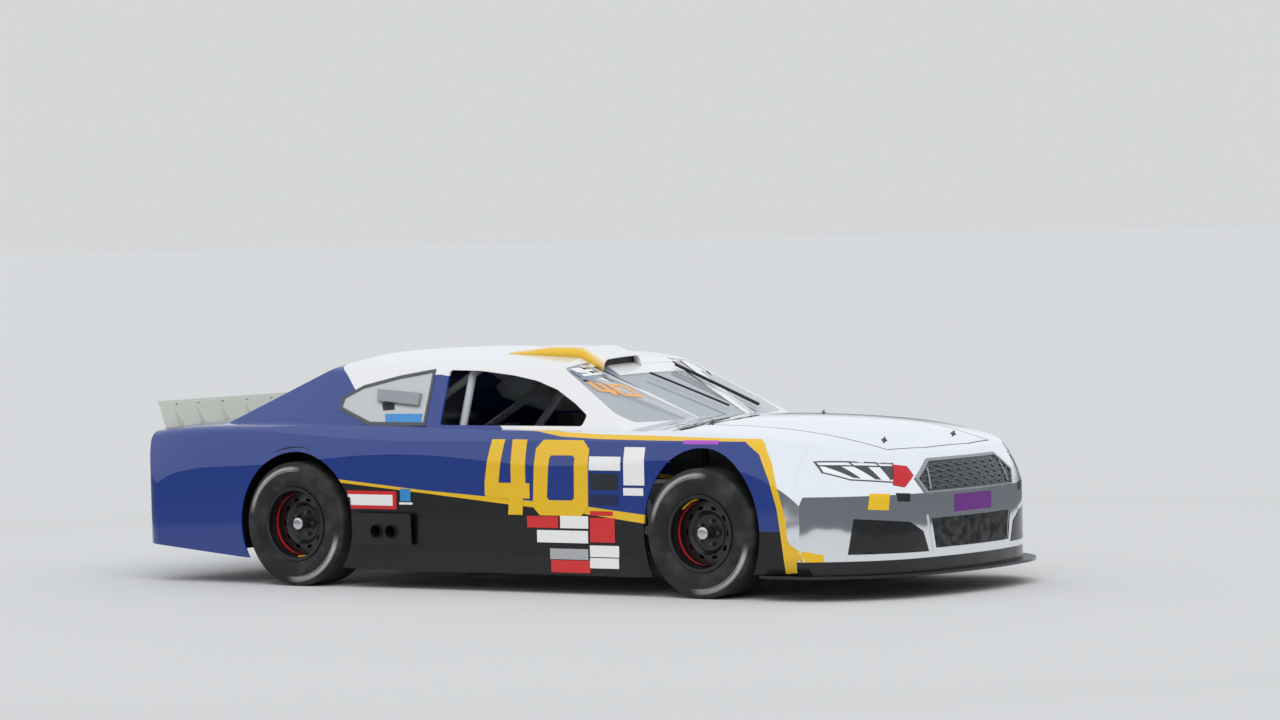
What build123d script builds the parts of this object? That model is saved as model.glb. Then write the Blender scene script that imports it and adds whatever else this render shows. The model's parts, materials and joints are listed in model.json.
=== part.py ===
from build123d import *
from math import cos, hypot, radians, sin, tan
import os

# Tube-frame stock car with a two-door coupe body, in millimetres
# +X is the nose, +Y the driver's left, +Z up; the origin is on the ground below the middle of the car
os.makedirs("parts", exist_ok=True)

# Wheels and track
wheelbase = 2740
tyre_radius = 343
tyre_width = 290
wheel_offset = 820          # from the centre plane to the middle of a tyre
front_x = wheelbase / 2
rear_x = -wheelbase / 2
wheel_places = [("front_left", front_x, 1), ("front_right", front_x, -1),
                ("rear_left", rear_x, 1), ("rear_right", rear_x, -1)]

# Body outline
body_wall = 10              # thickness of a skin panel
skin_joint = 0.3            # gap where two fixed pieces meet
lid_gap = 9                 # gap round the hood and the deck lid
nose_x = 2460               # foremost point of the nose on the centre line
nose_radius = 2300          # plan radius of the nose's front
nose_sweep = 11.5           # half the angle that the front arc covers
corner_radius = 620         # plan radius of the nose's corners
corner_sweep = 50
nose_lean_z = 540           # the nose stands upright below this height
tail_x = -2528
tail_bulge = 40             # how far the tail's middle stands behind its corners
tail_half = 940
tail_corner = 130
tail_lean_z = 563
tail_lean = 0.16            # forward lean of the tail above that height, in x for each z
body_top = 1500
reach = 3200

# Windscreen and rear window: sloping planes bent across the car
screen_base_x = 862
screen_base_z = 915
screen_slope = 2.06         # x for each z
screen_bow = 150            # how far the corners lie behind the middle
screen_half = 765
back_top_x = -1250
back_top_z = 1262
back_slope = 2.15
back_bow = 60

# Seams and lower edges of the skin
nose_seam_x = 1962
door_front_x = 870
door_top_x = -338           # rear edge of the door at the belt
door_foot_x = -480          # and at the skirt
tail_seam_x = -2140
belt_z = 868
skirt_top_z = 205
skirt_foot_z = 104
nose_foot_z = 205
fender_foot_z = 146
quarter_foot_z = 152
tail_foot_z = 222
hood_rear_x = 965
hood_front_x = 2290
hood_corner_x = 2235
hood_rear_half = 640
hood_front_half = 480
hood_tip_half = 200
deck_front_x = -2010
deck_rear_x = -2470
deck_half = 745
deck_rear_half = 720
sill_front_x = -1700        # forward end of the sill below the rear window
sill_inset = 60             # the sill's ends stop this far inside the side panels
arch_radius = 397
front_arch_half = 370
front_arch_top = 788

# Hinges of the hood and the deck lid
hood_setback = 80           # each lid's hinge lies this far in from its hinged edge
deck_setback = 120
hinge_z = 885
hinge_pin = 6
hinge_boss = 12             # radius of a lid's boss round the pin
hinge_lug = 9               # radius of the frame's ears round the pin
hinge_half = 250            # from the centre plane to the middle of a boss
hinge_boss_half = 16
hinge_ear = 19              # thickness of an ear
hinge_side_gap = 1
hinge_arm_half = 10
hinge_arm_top_z = 907
hinge_bar_z = 800
hood_hinge_x = hood_rear_x + hood_setback
deck_hinge_x = deck_front_x - deck_setback
cross_tube = 16
cross_tube_half = 430
running_gap = 0.3

# Side exhaust's tail pipes
pipe_radius = 38
pipe_wall = 3
pipe_xs = (-780, -678)
pipe_z = 316

# Lower body: one row for each section along the car
# x, foot_half, waist_half, waist_z, shoulder_half, shoulder_z, crown_z, shoulder_radius
body_sections = [
    (-2600, 860, 905, 480, 815, 820, 862, 62),
    (-1900, 925, 968, 470, 864, 874, 930, 75),
    (-1100, 940, 974, 460, 892, 878, 935, 72),
    (0, 945, 967, 450, 905, 864, 900, 60),
    (900, 942, 970, 460, 902, 866, 916, 68),
    (1500, 930, 974, 490, 888, 856, 905, 88),
    (2050, 880, 936, 470, 834, 782, 830, 88),
    (2560, 800, 880, 440, 770, 640, 668, 70),
]
body_floor = 60

# Greenhouse: one row for each section along the car
# x, foot_half, rail_half, rail_z, crown_z, rail_radius
roof_sections = [
    (1100, 846, 600, 1110, 1160, 70),
    (500, 858, 580, 1182, 1226, 75),
    (0, 864, 573, 1204, 1268, 80),
    (-600, 866, 573, 1210, 1288, 85),
    (-1250, 858, 566, 1192, 1264, 90),
    (-2200, 800, 520, 1130, 1190, 90),
]
roof_foot_z = 800
cabin_foot_z = 300          # lowest level at which the cabin's planes are drawn
screen_spread = 250

# Nose: height, and how far the plan outline is drawn in there
nose_crest = [(nose_lean_z, 0), (640, 34), (730, 84), (820, 160), (1000, 360)]


def nose_outline(inset):
    """Plan outline of the car ahead of its tail: straight flanks, two corner arcs and a front arc."""
    front_centre = nose_x - nose_radius
    corner_reach = nose_radius - corner_radius
    corner_x = front_centre + corner_reach * cos(radians(nose_sweep))
    corner_y = corner_reach * sin(radians(nose_sweep))
    turn = nose_sweep + corner_sweep
    end_radius = corner_radius - inset
    end_x = corner_x + end_radius * cos(radians(turn))
    end_y = corner_y + end_radius * sin(radians(turn))
    flank = 360
    far_x = end_x - flank * sin(radians(turn))
    far_y = end_y + flank * cos(radians(turn))
    with BuildSketch() as outline:
        with BuildLine():
            CenterArc((front_centre, 0), nose_radius - inset, -nose_sweep, 2 * nose_sweep)
            CenterArc((corner_x, corner_y), end_radius, nose_sweep, corner_sweep)
            Polyline((end_x, end_y), (far_x, far_y), (-reach, far_y), (-reach, -far_y),
                     (far_x, -far_y), (end_x, -end_y))
            CenterArc((corner_x, -corner_y), end_radius, -turn, corner_sweep)
        make_face()
    return outline.sketch


def side_prism(points, low_y=-reach, high_y=reach):
    """Prism across the car, its outline given as x, z points."""
    with BuildPart() as prism:
        with BuildSketch(Plane.XZ.offset(-high_y)):
            with BuildLine():
                Polyline(*points, close=True)
            make_face()
        extrude(amount=high_y - low_y)
    return prism.part


def plan_prism(points, low=-100, high=body_top):
    """Upright prism, its outline given as x, y points."""
    with BuildPart() as prism:
        with BuildSketch(Plane.XY.offset(low)):
            with BuildLine():
                Polyline(*points, close=True)
            make_face()
        extrude(amount=high - low)
    return prism.part


def front_prism(points, low_x, high_x):
    """Prism along the car, its outline given as y, z points."""
    with BuildPart() as prism:
        with BuildSketch(Plane.YZ.offset(low_x)):
            with BuildLine():
                Polyline(*points, close=True)
            make_face()
        extrude(amount=high_x - low_x)
    return prism.part


def both_sides(points):
    """Outline closed over the centre line from its points on the +Y side."""
    return points + [(x, -y) for x, y in reversed(points)]


def both_halves(points):
    """The same for y, z points."""
    return points + [(-y, z) for y, z in reversed(points)]


def lower_body(inset):
    """Solid of the body below the windows, every face moved inwards by inset."""
    with BuildPart() as body:
        for x, foot_half, waist_half, waist_z, half, shoulder_z, crown_z, radius in body_sections:
            foot = (foot_half - inset, body_floor - inset)
            waist = (waist_half - inset, waist_z)
            shoulder = (half - inset, shoulder_z - inset)
            with BuildSketch(Plane.YZ.offset(x)) as ring:
                with BuildLine():
                    Line((-foot[0], foot[1]), foot)
                    ThreePointArc(foot, waist, shoulder)
                    ThreePointArc(shoulder, (0, crown_z - inset), (-shoulder[0], shoulder[1]))
                    ThreePointArc((-shoulder[0], shoulder[1]), (-waist[0], waist[1]), (-foot[0], foot[1]))
                make_face()
                fillet(ring.vertices().group_by(Axis.Y)[-1], radius - inset)
        loft()
        add(nose_volume(inset), mode=Mode.INTERSECT)
        add(tail_volume(inset), mode=Mode.INTERSECT)
    return body.part


def nose_volume(inset):
    """Everything behind the nose's face: upright below, curving back above."""
    with BuildPart() as volume:
        with BuildSketch(Plane.XY.offset(-reach)):
            add(nose_outline(inset))
        extrude(amount=reach + nose_lean_z)
        for height, drawn_in in nose_crest:
            with BuildSketch(Plane.XY.offset(height)):
                add(nose_outline(inset + drawn_in))
        loft()
    return volume.part


def tail_volume(inset):
    """Everything ahead of the tail's face: bowed and rounded in plan, leaning forwards above."""
    rear = tail_x + inset
    with BuildPart() as volume:
        with BuildSketch(Plane.XY.offset(-reach)) as outline:
            with BuildLine():
                ThreePointArc((rear + tail_bulge, -tail_half + inset), (rear, 0),
                              (rear + tail_bulge, tail_half - inset))
                Polyline((rear + tail_bulge, tail_half - inset), (reach, tail_half - inset),
                         (reach, -tail_half + inset), (rear + tail_bulge, -tail_half + inset))
            make_face()
            fillet(outline.vertices().group_by(Axis.X)[0], tail_corner - inset)
        extrude(amount=2 * reach)
        lean = tail_lean * (body_top - tail_lean_z)
        add(side_prism([(rear, -reach), (rear, tail_lean_z), (rear + lean, body_top), (reach, body_top),
                        (reach, -reach)]), mode=Mode.INTERSECT)
    return volume.part


def greenhouse(inset):
    """Solid of the roof and windows, every face moved inwards by inset."""
    lean = radians(36)
    slip = inset / cos(lean)
    with BuildPart() as cabin:
        for x, foot_half, rail_half, rail_z, crown_z, radius in roof_sections:
            foot = (foot_half - slip, roof_foot_z)
            rail = (rail_half - inset * tan(lean), rail_z - inset)
            with BuildSketch(Plane.YZ.offset(x)) as ring:
                with BuildLine():
                    Polyline((-rail[0], rail[1]), (-foot[0], foot[1]), foot, rail)
                    ThreePointArc(rail, (0, crown_z - inset), (-rail[0], rail[1]))
                make_face()
                fillet(ring.vertices().group_by(Axis.Y)[-1], radius - inset)
        loft()
        screen_shift = inset * hypot(1, screen_slope)
        back_shift = inset * hypot(1, back_slope)
        add(sloped_volume(screen_base_x - screen_shift, screen_base_z, -screen_slope, screen_bow, 1),
            mode=Mode.INTERSECT)
        add(sloped_volume(back_top_x + back_shift, back_top_z, back_slope, back_bow, -1),
            mode=Mode.INTERSECT)
    return cabin.part


def sloped_volume(pivot_x, pivot_z, slope, bow, facing):
    """Everything behind a sloping plane that is bowed across the car; facing is 1 ahead, -1 behind."""
    with BuildPart() as volume:
        for height in (cabin_foot_z, body_top):
            edge = pivot_x + slope * (height - pivot_z)
            with BuildSketch(Plane.XY.offset(height)):
                with BuildLine():
                    ThreePointArc((edge - facing * bow, -screen_half), (edge, 0),
                                  (edge - facing * bow, screen_half))
                    far = edge - facing * (bow + screen_spread)
                    Polyline((edge - facing * bow, screen_half), (far, screen_half + screen_spread),
                             (-facing * 2 * reach, screen_half + screen_spread),
                             (-facing * 2 * reach, -screen_half - screen_spread),
                             (far, -screen_half - screen_spread), (edge - facing * bow, -screen_half))
                make_face()
        loft(ruled=True)
    return volume.part


def finish(piece, name):
    """Name a finished piece and write it."""
    piece.part.label = name
    export_step(piece.part, f"parts/{name}.step")


def frame_tube(points, radius, bend=60):
    """Round tube along a path of straight runs and tangent bends."""
    with BuildPart() as tube:
        with BuildLine() as path:
            if len(points) == 2:
                Line(*points)
            else:
                FilletPolyline(*points, radius=bend)
        start = path.line @ 0
        with BuildSketch(Plane(origin=start, z_dir=path.line % 0)):
            Circle(radius)
        sweep(path=path.line)
    return tube.part


def bar(start, end, radius):
    """Straight round bar between two points."""
    return frame_tube([start, end], radius)


def beam(low, high):
    """Square beam between two opposite corners."""
    with BuildPart() as block:
        with Locations(((low[0] + high[0]) / 2, (low[1] + high[1]) / 2, (low[2] + high[2]) / 2)):
            Box(high[0] - low[0], high[1] - low[1], high[2] - low[2])
    return block.part


def flip(point, side):
    """Point on the car's left, or mirrored to its right."""
    return (point[0], point[1] * side, point[2])


# Skin: shells, then panels cut from them along the seams
outer_lower = lower_body(0)
inner_lower = lower_body(body_wall)
outer_roof = greenhouse(0)

skirt_front_x = front_x - front_arch_half - 40
skirt_rear_x = rear_x + arch_radius + 40
under_line = [(-reach, tail_foot_z), (tail_x, tail_foot_z), (rear_x - arch_radius, quarter_foot_z),
              (skirt_rear_x, skirt_foot_z), (skirt_front_x, skirt_foot_z), (nose_seam_x, fender_foot_z),
              (nose_seam_x, nose_foot_z), (reach, nose_foot_z), (reach, -500), (-reach, -500)]
with BuildPart() as lower_ring:
    add(outer_lower)
    add(inner_lower, mode=Mode.SUBTRACT)
with BuildPart() as lower_shell:
    add(lower_ring.part)
    add(greenhouse(-skin_joint), mode=Mode.SUBTRACT)
    add(side_prism(under_line), mode=Mode.SUBTRACT)
    for side in (1, -1):
        with BuildSketch(Plane.XZ.offset(-side * 500)):
            with Locations((rear_x, tyre_radius)):
                Circle(arch_radius)
            with Locations((front_x, tyre_radius)):
                Ellipse(front_arch_half, front_arch_top - tyre_radius)
        extrude(amount=-side * 700, mode=Mode.SUBTRACT)

half_joint = skin_joint / 2
hood_floor_z = 560
deck_floor_z = 710


def hood_edge(gap):
    """Plan outline of the hood, or of its opening, as x, y points on the +Y side."""
    return [(hood_rear_x - gap, hood_rear_half + gap), (hood_corner_x + gap, hood_front_half + gap),
            (hood_front_x + gap, hood_tip_half)]


def deck_edge(gap):
    """The same of the deck lid."""
    return [(deck_front_x + gap, deck_half + gap), (deck_rear_x - gap, deck_rear_half + gap)]


hood_prism = plan_prism(both_sides(hood_edge(0)), hood_floor_z)
hood_hole = plan_prism(both_sides(hood_edge(lid_gap)), hood_floor_z)
deck_prism = plan_prism(both_sides(deck_edge(0)), deck_floor_z)
deck_hole = plan_prism(both_sides(deck_edge(lid_gap)), deck_floor_z)
# The cowl lies between the windscreen's foot and the hood
cowl_half = hood_rear_half + lid_gap


def door_seam(shift):
    """Rear edge of the door from the belt to the skirt, as x, z points."""
    slope = (door_top_x - door_foot_x) / (belt_z - skirt_top_z)
    return [(door_top_x + slope * (body_top - belt_z) + shift, body_top),
            (door_foot_x - slope * (skirt_top_z + 200) + shift, -200)]


ahead_of_nose_seam = side_prism([(nose_seam_x + half_joint, -200), (reach, -200), (reach, body_top),
                                 (nose_seam_x + half_joint, body_top)])
fender_span = side_prism([(door_front_x + half_joint, -200), (nose_seam_x - half_joint, -200),
                          (nose_seam_x - half_joint, body_top), (door_front_x + half_joint, body_top)])
seam_high, seam_low = door_seam(half_joint)
door_span = side_prism([seam_low, (door_front_x - half_joint, -200), (door_front_x - half_joint, body_top),
                        seam_high])
seam_high, seam_low = door_seam(-half_joint)
quarter_span = side_prism([(tail_seam_x + half_joint, -200), seam_low, seam_high,
                           (tail_seam_x + half_joint, body_top)])
behind_tail_seam = side_prism([(-reach, -200), (tail_seam_x - half_joint, -200),
                               (tail_seam_x - half_joint, body_top), (-reach, body_top)])
skirt_box = side_prism([(skirt_rear_x, -200), (skirt_front_x, -200),
                        (skirt_front_x, skirt_top_z - half_joint), (skirt_rear_x, skirt_top_z - half_joint)])
skirt_hole = side_prism([(skirt_rear_x - skin_joint, -200), (skirt_front_x + skin_joint, -200),
                         (skirt_front_x + skin_joint, skirt_top_z + half_joint),
                         (skirt_rear_x - skin_joint, skirt_top_z + half_joint)])
cowl_box = plan_prism(both_sides([(300, cowl_half), (hood_rear_x - lid_gap, cowl_half)]), hood_floor_z)
cowl_hole = plan_prism(both_sides([(300, cowl_half + skin_joint),
                                   (hood_rear_x - lid_gap, cowl_half + skin_joint)]), hood_floor_z)
# The sill below the rear window reaches back to the deck lid
sill_half = deck_half + lid_gap
sill_box = plan_prism(both_sides([(sill_front_x, sill_half - sill_inset),
                                  (deck_front_x + lid_gap, sill_half - sill_inset)]), hood_floor_z)
sill_hole = plan_prism(both_sides([(sill_front_x, sill_half + skin_joint),
                                   (deck_front_x + lid_gap, sill_half + skin_joint)]), hood_floor_z)
# The side panels lie beyond this half width
side_from = 300
left_side = plan_prism([(-reach, side_from), (reach, side_from), (reach, reach), (-reach, reach)])

# Openings in the nose, as y, z outlines on the +Y side
lamp_outline = [(838, 722), (763, 720), (550, 700), (590, 600), (777, 622), (846, 662)]
grille_outline = [(398, 548), (436, 612), (312, 694)]
intake_outline = [(345, 252), (376, 406)]
duct_outline = [(432, 344), (523, 396), (790, 424), (812, 240), (392, 236)]


def inset_outline(points, gap):
    """Closed outline drawn in by a gap on every side."""
    with BuildSketch() as outline:
        with BuildLine():
            Polyline(*points, close=True)
        make_face()
        if gap:
            offset(amount=-gap, kind=Kind.INTERSECTION)
    return outline.sketch


def nose_cutter(points, gap=0):
    """Prism along the car for an opening given by y, z points, drawn in by a gap."""
    with BuildPart() as cutter:
        with BuildSketch(Plane.YZ.offset(nose_cut_x)):
            add(inset_outline(points, gap))
        extrude(amount=nose_cut_length)
    return cutter.part


nose_cut_x = 1900
nose_cut_length = 900
nose_openings = [both_halves(grille_outline), both_halves(intake_outline)]
for side in (1, -1):
    nose_openings.append([(y * side, z) for y, z in lamp_outline])
    nose_openings.append([(y * side, z) for y, z in duct_outline])

with BuildPart() as nose:
    add(lower_shell.part)
    add(ahead_of_nose_seam, mode=Mode.INTERSECT)
    add(hood_hole, mode=Mode.SUBTRACT)
    for outline in nose_openings:
        add(nose_cutter(outline), mode=Mode.SUBTRACT)
finish(nose, "nose")


def hinge_arms(x):
    """Two hinge bosses below a lid, each with an arm up into the skin."""
    with BuildPart() as arms:
        for side in (1, -1):
            y = side * hinge_half
            add(beam((x - hinge_arm_half, y - hinge_boss_half, hinge_z),
                     (x + hinge_arm_half, y + hinge_boss_half, hinge_arm_top_z)))
            add(bar((x, y - hinge_boss_half, hinge_z), (x, y + hinge_boss_half, hinge_z), hinge_boss))
        add(bar((x, -reach, hinge_z), (x, reach, hinge_z), hinge_pin + running_gap), mode=Mode.SUBTRACT)
    return arms.part


with BuildPart() as hood:
    add(lower_shell.part)
    add(hood_prism, mode=Mode.INTERSECT)
    add(hinge_arms(hood_hinge_x))
finish(hood, "hood")

with BuildPart() as cowl_panel:
    add(lower_shell.part)
    add(cowl_box, mode=Mode.INTERSECT)
finish(cowl_panel, "cowl_panel")

with BuildPart() as window_sill:
    add(lower_shell.part)
    add(sill_box, mode=Mode.INTERSECT)
finish(window_sill, "window_sill")

with BuildPart() as deck_lid:
    add(lower_shell.part)
    add(deck_prism, mode=Mode.INTERSECT)
    add(hinge_arms(deck_hinge_x))
finish(deck_lid, "deck_lid")

with BuildPart() as rear_bumper:
    add(lower_shell.part)
    add(behind_tail_seam, mode=Mode.INTERSECT)
    add(deck_hole, mode=Mode.SUBTRACT)
finish(rear_bumper, "rear_bumper")

with BuildPart() as skirts:
    add(lower_shell.part)
    add(skirt_box, mode=Mode.INTERSECT)
finish(skirts, "side_skirts")

side_panels = [("fender", fender_span, (hood_hole, cowl_hole, skirt_hole)),
               ("door", door_span, (cowl_hole, skirt_hole)),
               ("quarter", quarter_span, (deck_hole, sill_hole, skirt_hole))]
for name, span, holes in side_panels:
    with BuildPart() as panel:
        add(lower_shell.part)
        add(span, mode=Mode.INTERSECT)
        add(left_side, mode=Mode.INTERSECT)
        for hole in holes:
            add(hole, mode=Mode.SUBTRACT)
    finish(panel, f"{name}_left")
    with BuildPart() as mirrored:
        add(mirror(panel.part, about=Plane.XZ))
        if name == "quarter":
            with BuildSketch(Plane.XZ):
                with Locations(*[(x, pipe_z) for x in pipe_xs]):
                    Circle(pipe_radius + skin_joint)
            extrude(amount=reach, mode=Mode.SUBTRACT)
    finish(mirrored, f"{name}_right")

# Windows: openings in the greenhouse and the panes that fill them
screen_outline = [(735, 905), (566, 1186)]
screen_crown = 40
back_outline = [(655, 955), (500, 1196)]
back_crown = 34
quarter_window = [(-1205, 968), (-1212, 1030), (-1100, 1088), (-870, 1140), (-640, 1176), (-560, 888),
                  (-950, 888)]
door_window = [(-455, 888), (-540, 1178), (-318, 1174), (-82, 1150), (87, 1122), (245, 1076), (401, 1004),
               (505, 945), (500, 888)]


def crowned_outline(outline, crown, gap):
    """Window outline in y, z: straight foot and sides and a bowed head, drawn in by a gap."""
    (foot_half, foot_z), (head_half, head_z) = outline
    with BuildSketch() as face:
        with BuildLine():
            Polyline((-head_half, head_z), (-foot_half, foot_z), (foot_half, foot_z), (head_half, head_z))
            ThreePointArc((head_half, head_z), (0, head_z + crown), (-head_half, head_z))
        make_face()
        fillet(face.vertices(), window_corner)
        if gap:
            offset(amount=-gap)
    return face.sketch


def end_window_cutter(outline, crown, low_x, gap=0):
    """Prism along the car for the windscreen or the rear window."""
    with BuildPart() as cutter:
        with BuildSketch(Plane.YZ.offset(low_x)):
            add(crowned_outline(outline, crown, gap))
        extrude(amount=end_window_run)
    return cutter.part


def side_window_cutter(points, gap=0):
    """Prism across the car for a side window, with rounded corners."""
    with BuildPart() as cutter:
        with BuildSketch(Plane.XZ) as face:
            with BuildLine():
                Polyline(*points, close=True)
            make_face()
            fillet(face.vertices(), side_window_corner)
            if gap:
                offset(amount=-gap)
        extrude(amount=reach, both=True)
    return cutter.part


window_corner = 45
side_window_corner = 18
end_window_run = 1400
screen_cut_x = 60
back_cut_x = -2500
screen_hole = end_window_cutter(screen_outline, screen_crown, screen_cut_x)
back_hole = end_window_cutter(back_outline, back_crown, back_cut_x)
with BuildPart() as roof_ring:
    add(outer_roof)
    add(greenhouse(body_wall), mode=Mode.SUBTRACT)
    add(inner_lower, mode=Mode.SUBTRACT)
with BuildPart() as roof_shell:
    add(roof_ring.part)
    for hole in (screen_hole, back_hole, side_window_cutter(quarter_window), side_window_cutter(door_window),
                 deck_hole):
        add(hole, mode=Mode.SUBTRACT)
finish(roof_shell, "roof_shell")

for name, cutter in (
        ("windshield", end_window_cutter(screen_outline, screen_crown, screen_cut_x, skin_joint)),
        ("rear_window", end_window_cutter(back_outline, back_crown, back_cut_x, skin_joint)),
        ("quarter_windows", side_window_cutter(quarter_window, skin_joint))):
    with BuildPart() as pane:
        add(roof_ring.part)
        add(cutter, mode=Mode.INTERSECT)
    finish(pane, name)

# Wheels: everything is drawn with the wheel's axis along +Y and its outer side at +Y
rim_radius = 203
rim_half = 135
rim_wall = 6
barrel_radius = 176
bead_radius = 191
bead_half = 128
dish_out = 42               # the wheel's centre lies this far outboard of its middle
dish_wall = 10
stud_circle = 127
stud_count = 5
hub_pilot = 32
spindle_radius = 25
disc_radius = 148
disc_in = -58               # inboard face of the brake disc
disc_thick = 28
bell_radius = 88
caliper_gap = 6
kingpin_offset = 100        # from the wheel's middle to the steering axis
kingpin_lean = 6


def wheel_plane(x, side):
    """Plane whose X is the car's X and whose Y is the outward direction of one wheel."""
    return Plane(origin=(x, side * wheel_offset, tyre_radius), x_dir=(1, 0, 0), z_dir=(0, 0, side))


def turned(points, x, side):
    """Solid of revolution about a wheel's axis from outward, radius points."""
    plane = wheel_plane(x, side)
    with BuildPart() as piece:
        with BuildSketch(Plane(origin=plane.origin, x_dir=(0, side, 0), z_dir=(side, 0, 0))):
            with BuildLine():
                Polyline(*points, close=True)
            make_face()
        revolve(axis=Axis((x, 0, tyre_radius), (0, 1, 0)))
    return piece.part


def tyre_section():
    """Half-round shoulders, a nearly flat tread and bulged walls, as one closed sketch."""
    half = tyre_width / 2
    bead = bead_radius + running_gap
    foot_half = bead_half - running_gap
    bead_top = rim_radius + 1
    with BuildSketch() as section:
        with BuildLine():
            Polyline((-foot_half, bead_top), (-foot_half, bead), (foot_half, bead), (foot_half, bead_top))
            ThreePointArc((foot_half, bead_top), (half, 268), (half - 10, 326))
            ThreePointArc((half - 10, 326), (half - 16, 336), (half - 26, tyre_radius - 2))
            ThreePointArc((half - 26, tyre_radius - 2), (0, tyre_radius), (26 - half, tyre_radius - 2))
            ThreePointArc((26 - half, tyre_radius - 2), (16 - half, 336), (10 - half, 326))
            ThreePointArc((10 - half, 326), (-half, 268), (-foot_half, bead_top))
        make_face()
        with BuildLine():
            Polyline((-foot_half + 12, bead), (14 - half, 262), (22 - half, 318), (half - 22, 318),
                     (half - 14, 262), (foot_half - 12, bead), close=True)
        make_face(mode=Mode.SUBTRACT)
    return section.sketch


rim_points = [(-rim_half, rim_radius), (-bead_half - 1, rim_radius), (-bead_half - 1, bead_radius),
              (-104, bead_radius - 2), (-72, barrel_radius), (72, barrel_radius), (104, bead_radius - 2),
              (bead_half + 1, bead_radius), (bead_half + 1, rim_radius), (rim_half, rim_radius),
              (rim_half, bead_radius - rim_wall), (106, bead_radius - 2 - rim_wall),
              (74, barrel_radius - rim_wall), (-74, barrel_radius - rim_wall),
              (-106, bead_radius - 2 - rim_wall), (-rim_half, bead_radius - rim_wall)]
inner_barrel = barrel_radius - rim_wall
dish_points = [(dish_out, hub_pilot), (dish_out, 95), (dish_out + 22, 118), (dish_out + 14, inner_barrel + 1),
               (dish_out + 4, inner_barrel + 1), (dish_out + 12, 118), (dish_out - dish_wall, 97),
               (dish_out - dish_wall, hub_pilot)]

for place, x, side in wheel_places:
    plane = wheel_plane(x, side)
    axle = Axis((x, 0, tyre_radius), (0, 1, 0))
    section_plane = Plane(origin=plane.origin, x_dir=(0, side, 0), z_dir=(side, 0, 0))
    face_plane = Plane(origin=plane.origin, x_dir=(1, 0, 0), z_dir=(0, side, 0))
    with BuildPart() as tyre:
        with BuildSketch(section_plane):
            add(tyre_section())
        revolve(axis=axle)
    finish(tyre, f"tyre_{place}")
    with BuildPart() as wheel:
        add(turned(rim_points, x, side))
        add(turned(dish_points, x, side))
        with BuildSketch(face_plane):
            with PolarLocations(stud_circle / 2, stud_count):
                Circle(8)
            with PolarLocations(133, 10):
                SlotOverall(34, 18, rotation=90)
        extrude(amount=110, mode=Mode.SUBTRACT)
    finish(wheel, f"wheel_{place}")
    flange_face = dish_out - dish_wall - skin_joint
    with BuildPart() as disc:
        bore = spindle_radius + running_gap
        disc_out = disc_in + disc_thick
        add(turned([(disc_out, bore), (disc_out, 60), (disc_in, 66), (disc_in, disc_radius),
                    (disc_out, disc_radius), (disc_out, bell_radius),
                    (flange_face - 9, bell_radius - 6), (flange_face, bell_radius - 6),
                    (flange_face, hub_pilot - 0.3), (dish_out + 60, hub_pilot - 0.3), (dish_out + 60, bore)],
                   x, side))
        with BuildSketch(face_plane):
            with PolarLocations(stud_circle / 2, stud_count):
                Circle(6)
        extrude(amount=dish_out + 24)
        with BuildSketch(face_plane.offset(dish_out + 0.3)):
            with PolarLocations(stud_circle / 2, stud_count):
                RegularPolygon(11, 6)
        extrude(amount=16)
    finish(disc, f"brake_disc_{place}")

# Front uprights: steering axis, bosses, spindle, caliper and steering arm
boss_radius = 22
boss_half = 15
ball_pin = 10
upper_boss = 120            # distance of each boss from the axle's height, along the steering axis
lower_boss = -110
eye_length = 30
upright_radius = 18
spindle_boss = 44
disc_gap = 6
caliper_inner = 98
caliper_outer = 160
caliper_wall = 20
caliper_arm = 112           # the arm that carries the caliper reaches this far behind the axle
caliper_arm_half = 25
spindle_reach = 50          # the spindle ends this far outboard of the wheel's centre
steer_arm_reach = 125
steer_arm_in = 22           # the arm's eye lies this far inboard of the steering axis
steer_arm_z = 268
steer_arm_radius = 8
steer_eye_half = 7
rod_gap = 9                 # the tie rod's eye lies this far above the steering arm


def caliper(x, side):
    """Brake caliper behind the axle, open round the disc."""
    face = Plane(origin=wheel_plane(x, side).origin, x_dir=(1, 0, 0), z_dir=(0, side, 0))
    inboard = disc_in - disc_gap - caliper_wall
    outboard = disc_in + disc_thick + disc_gap + caliper_wall
    with BuildPart() as body:
        with BuildSketch(face.offset(inboard)):
            Circle(caliper_outer)
            Circle(caliper_inner, mode=Mode.SUBTRACT)
            with Locations((-caliper_outer, 0)):
                Rectangle(caliper_outer, 1.1 * caliper_outer, mode=Mode.INTERSECT)
        extrude(amount=outboard - inboard)
        with BuildSketch(face.offset(disc_in - disc_gap)):
            Circle(disc_radius + disc_gap)
        extrude(amount=disc_thick + 2 * disc_gap, mode=Mode.SUBTRACT)
    return body.part


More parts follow.
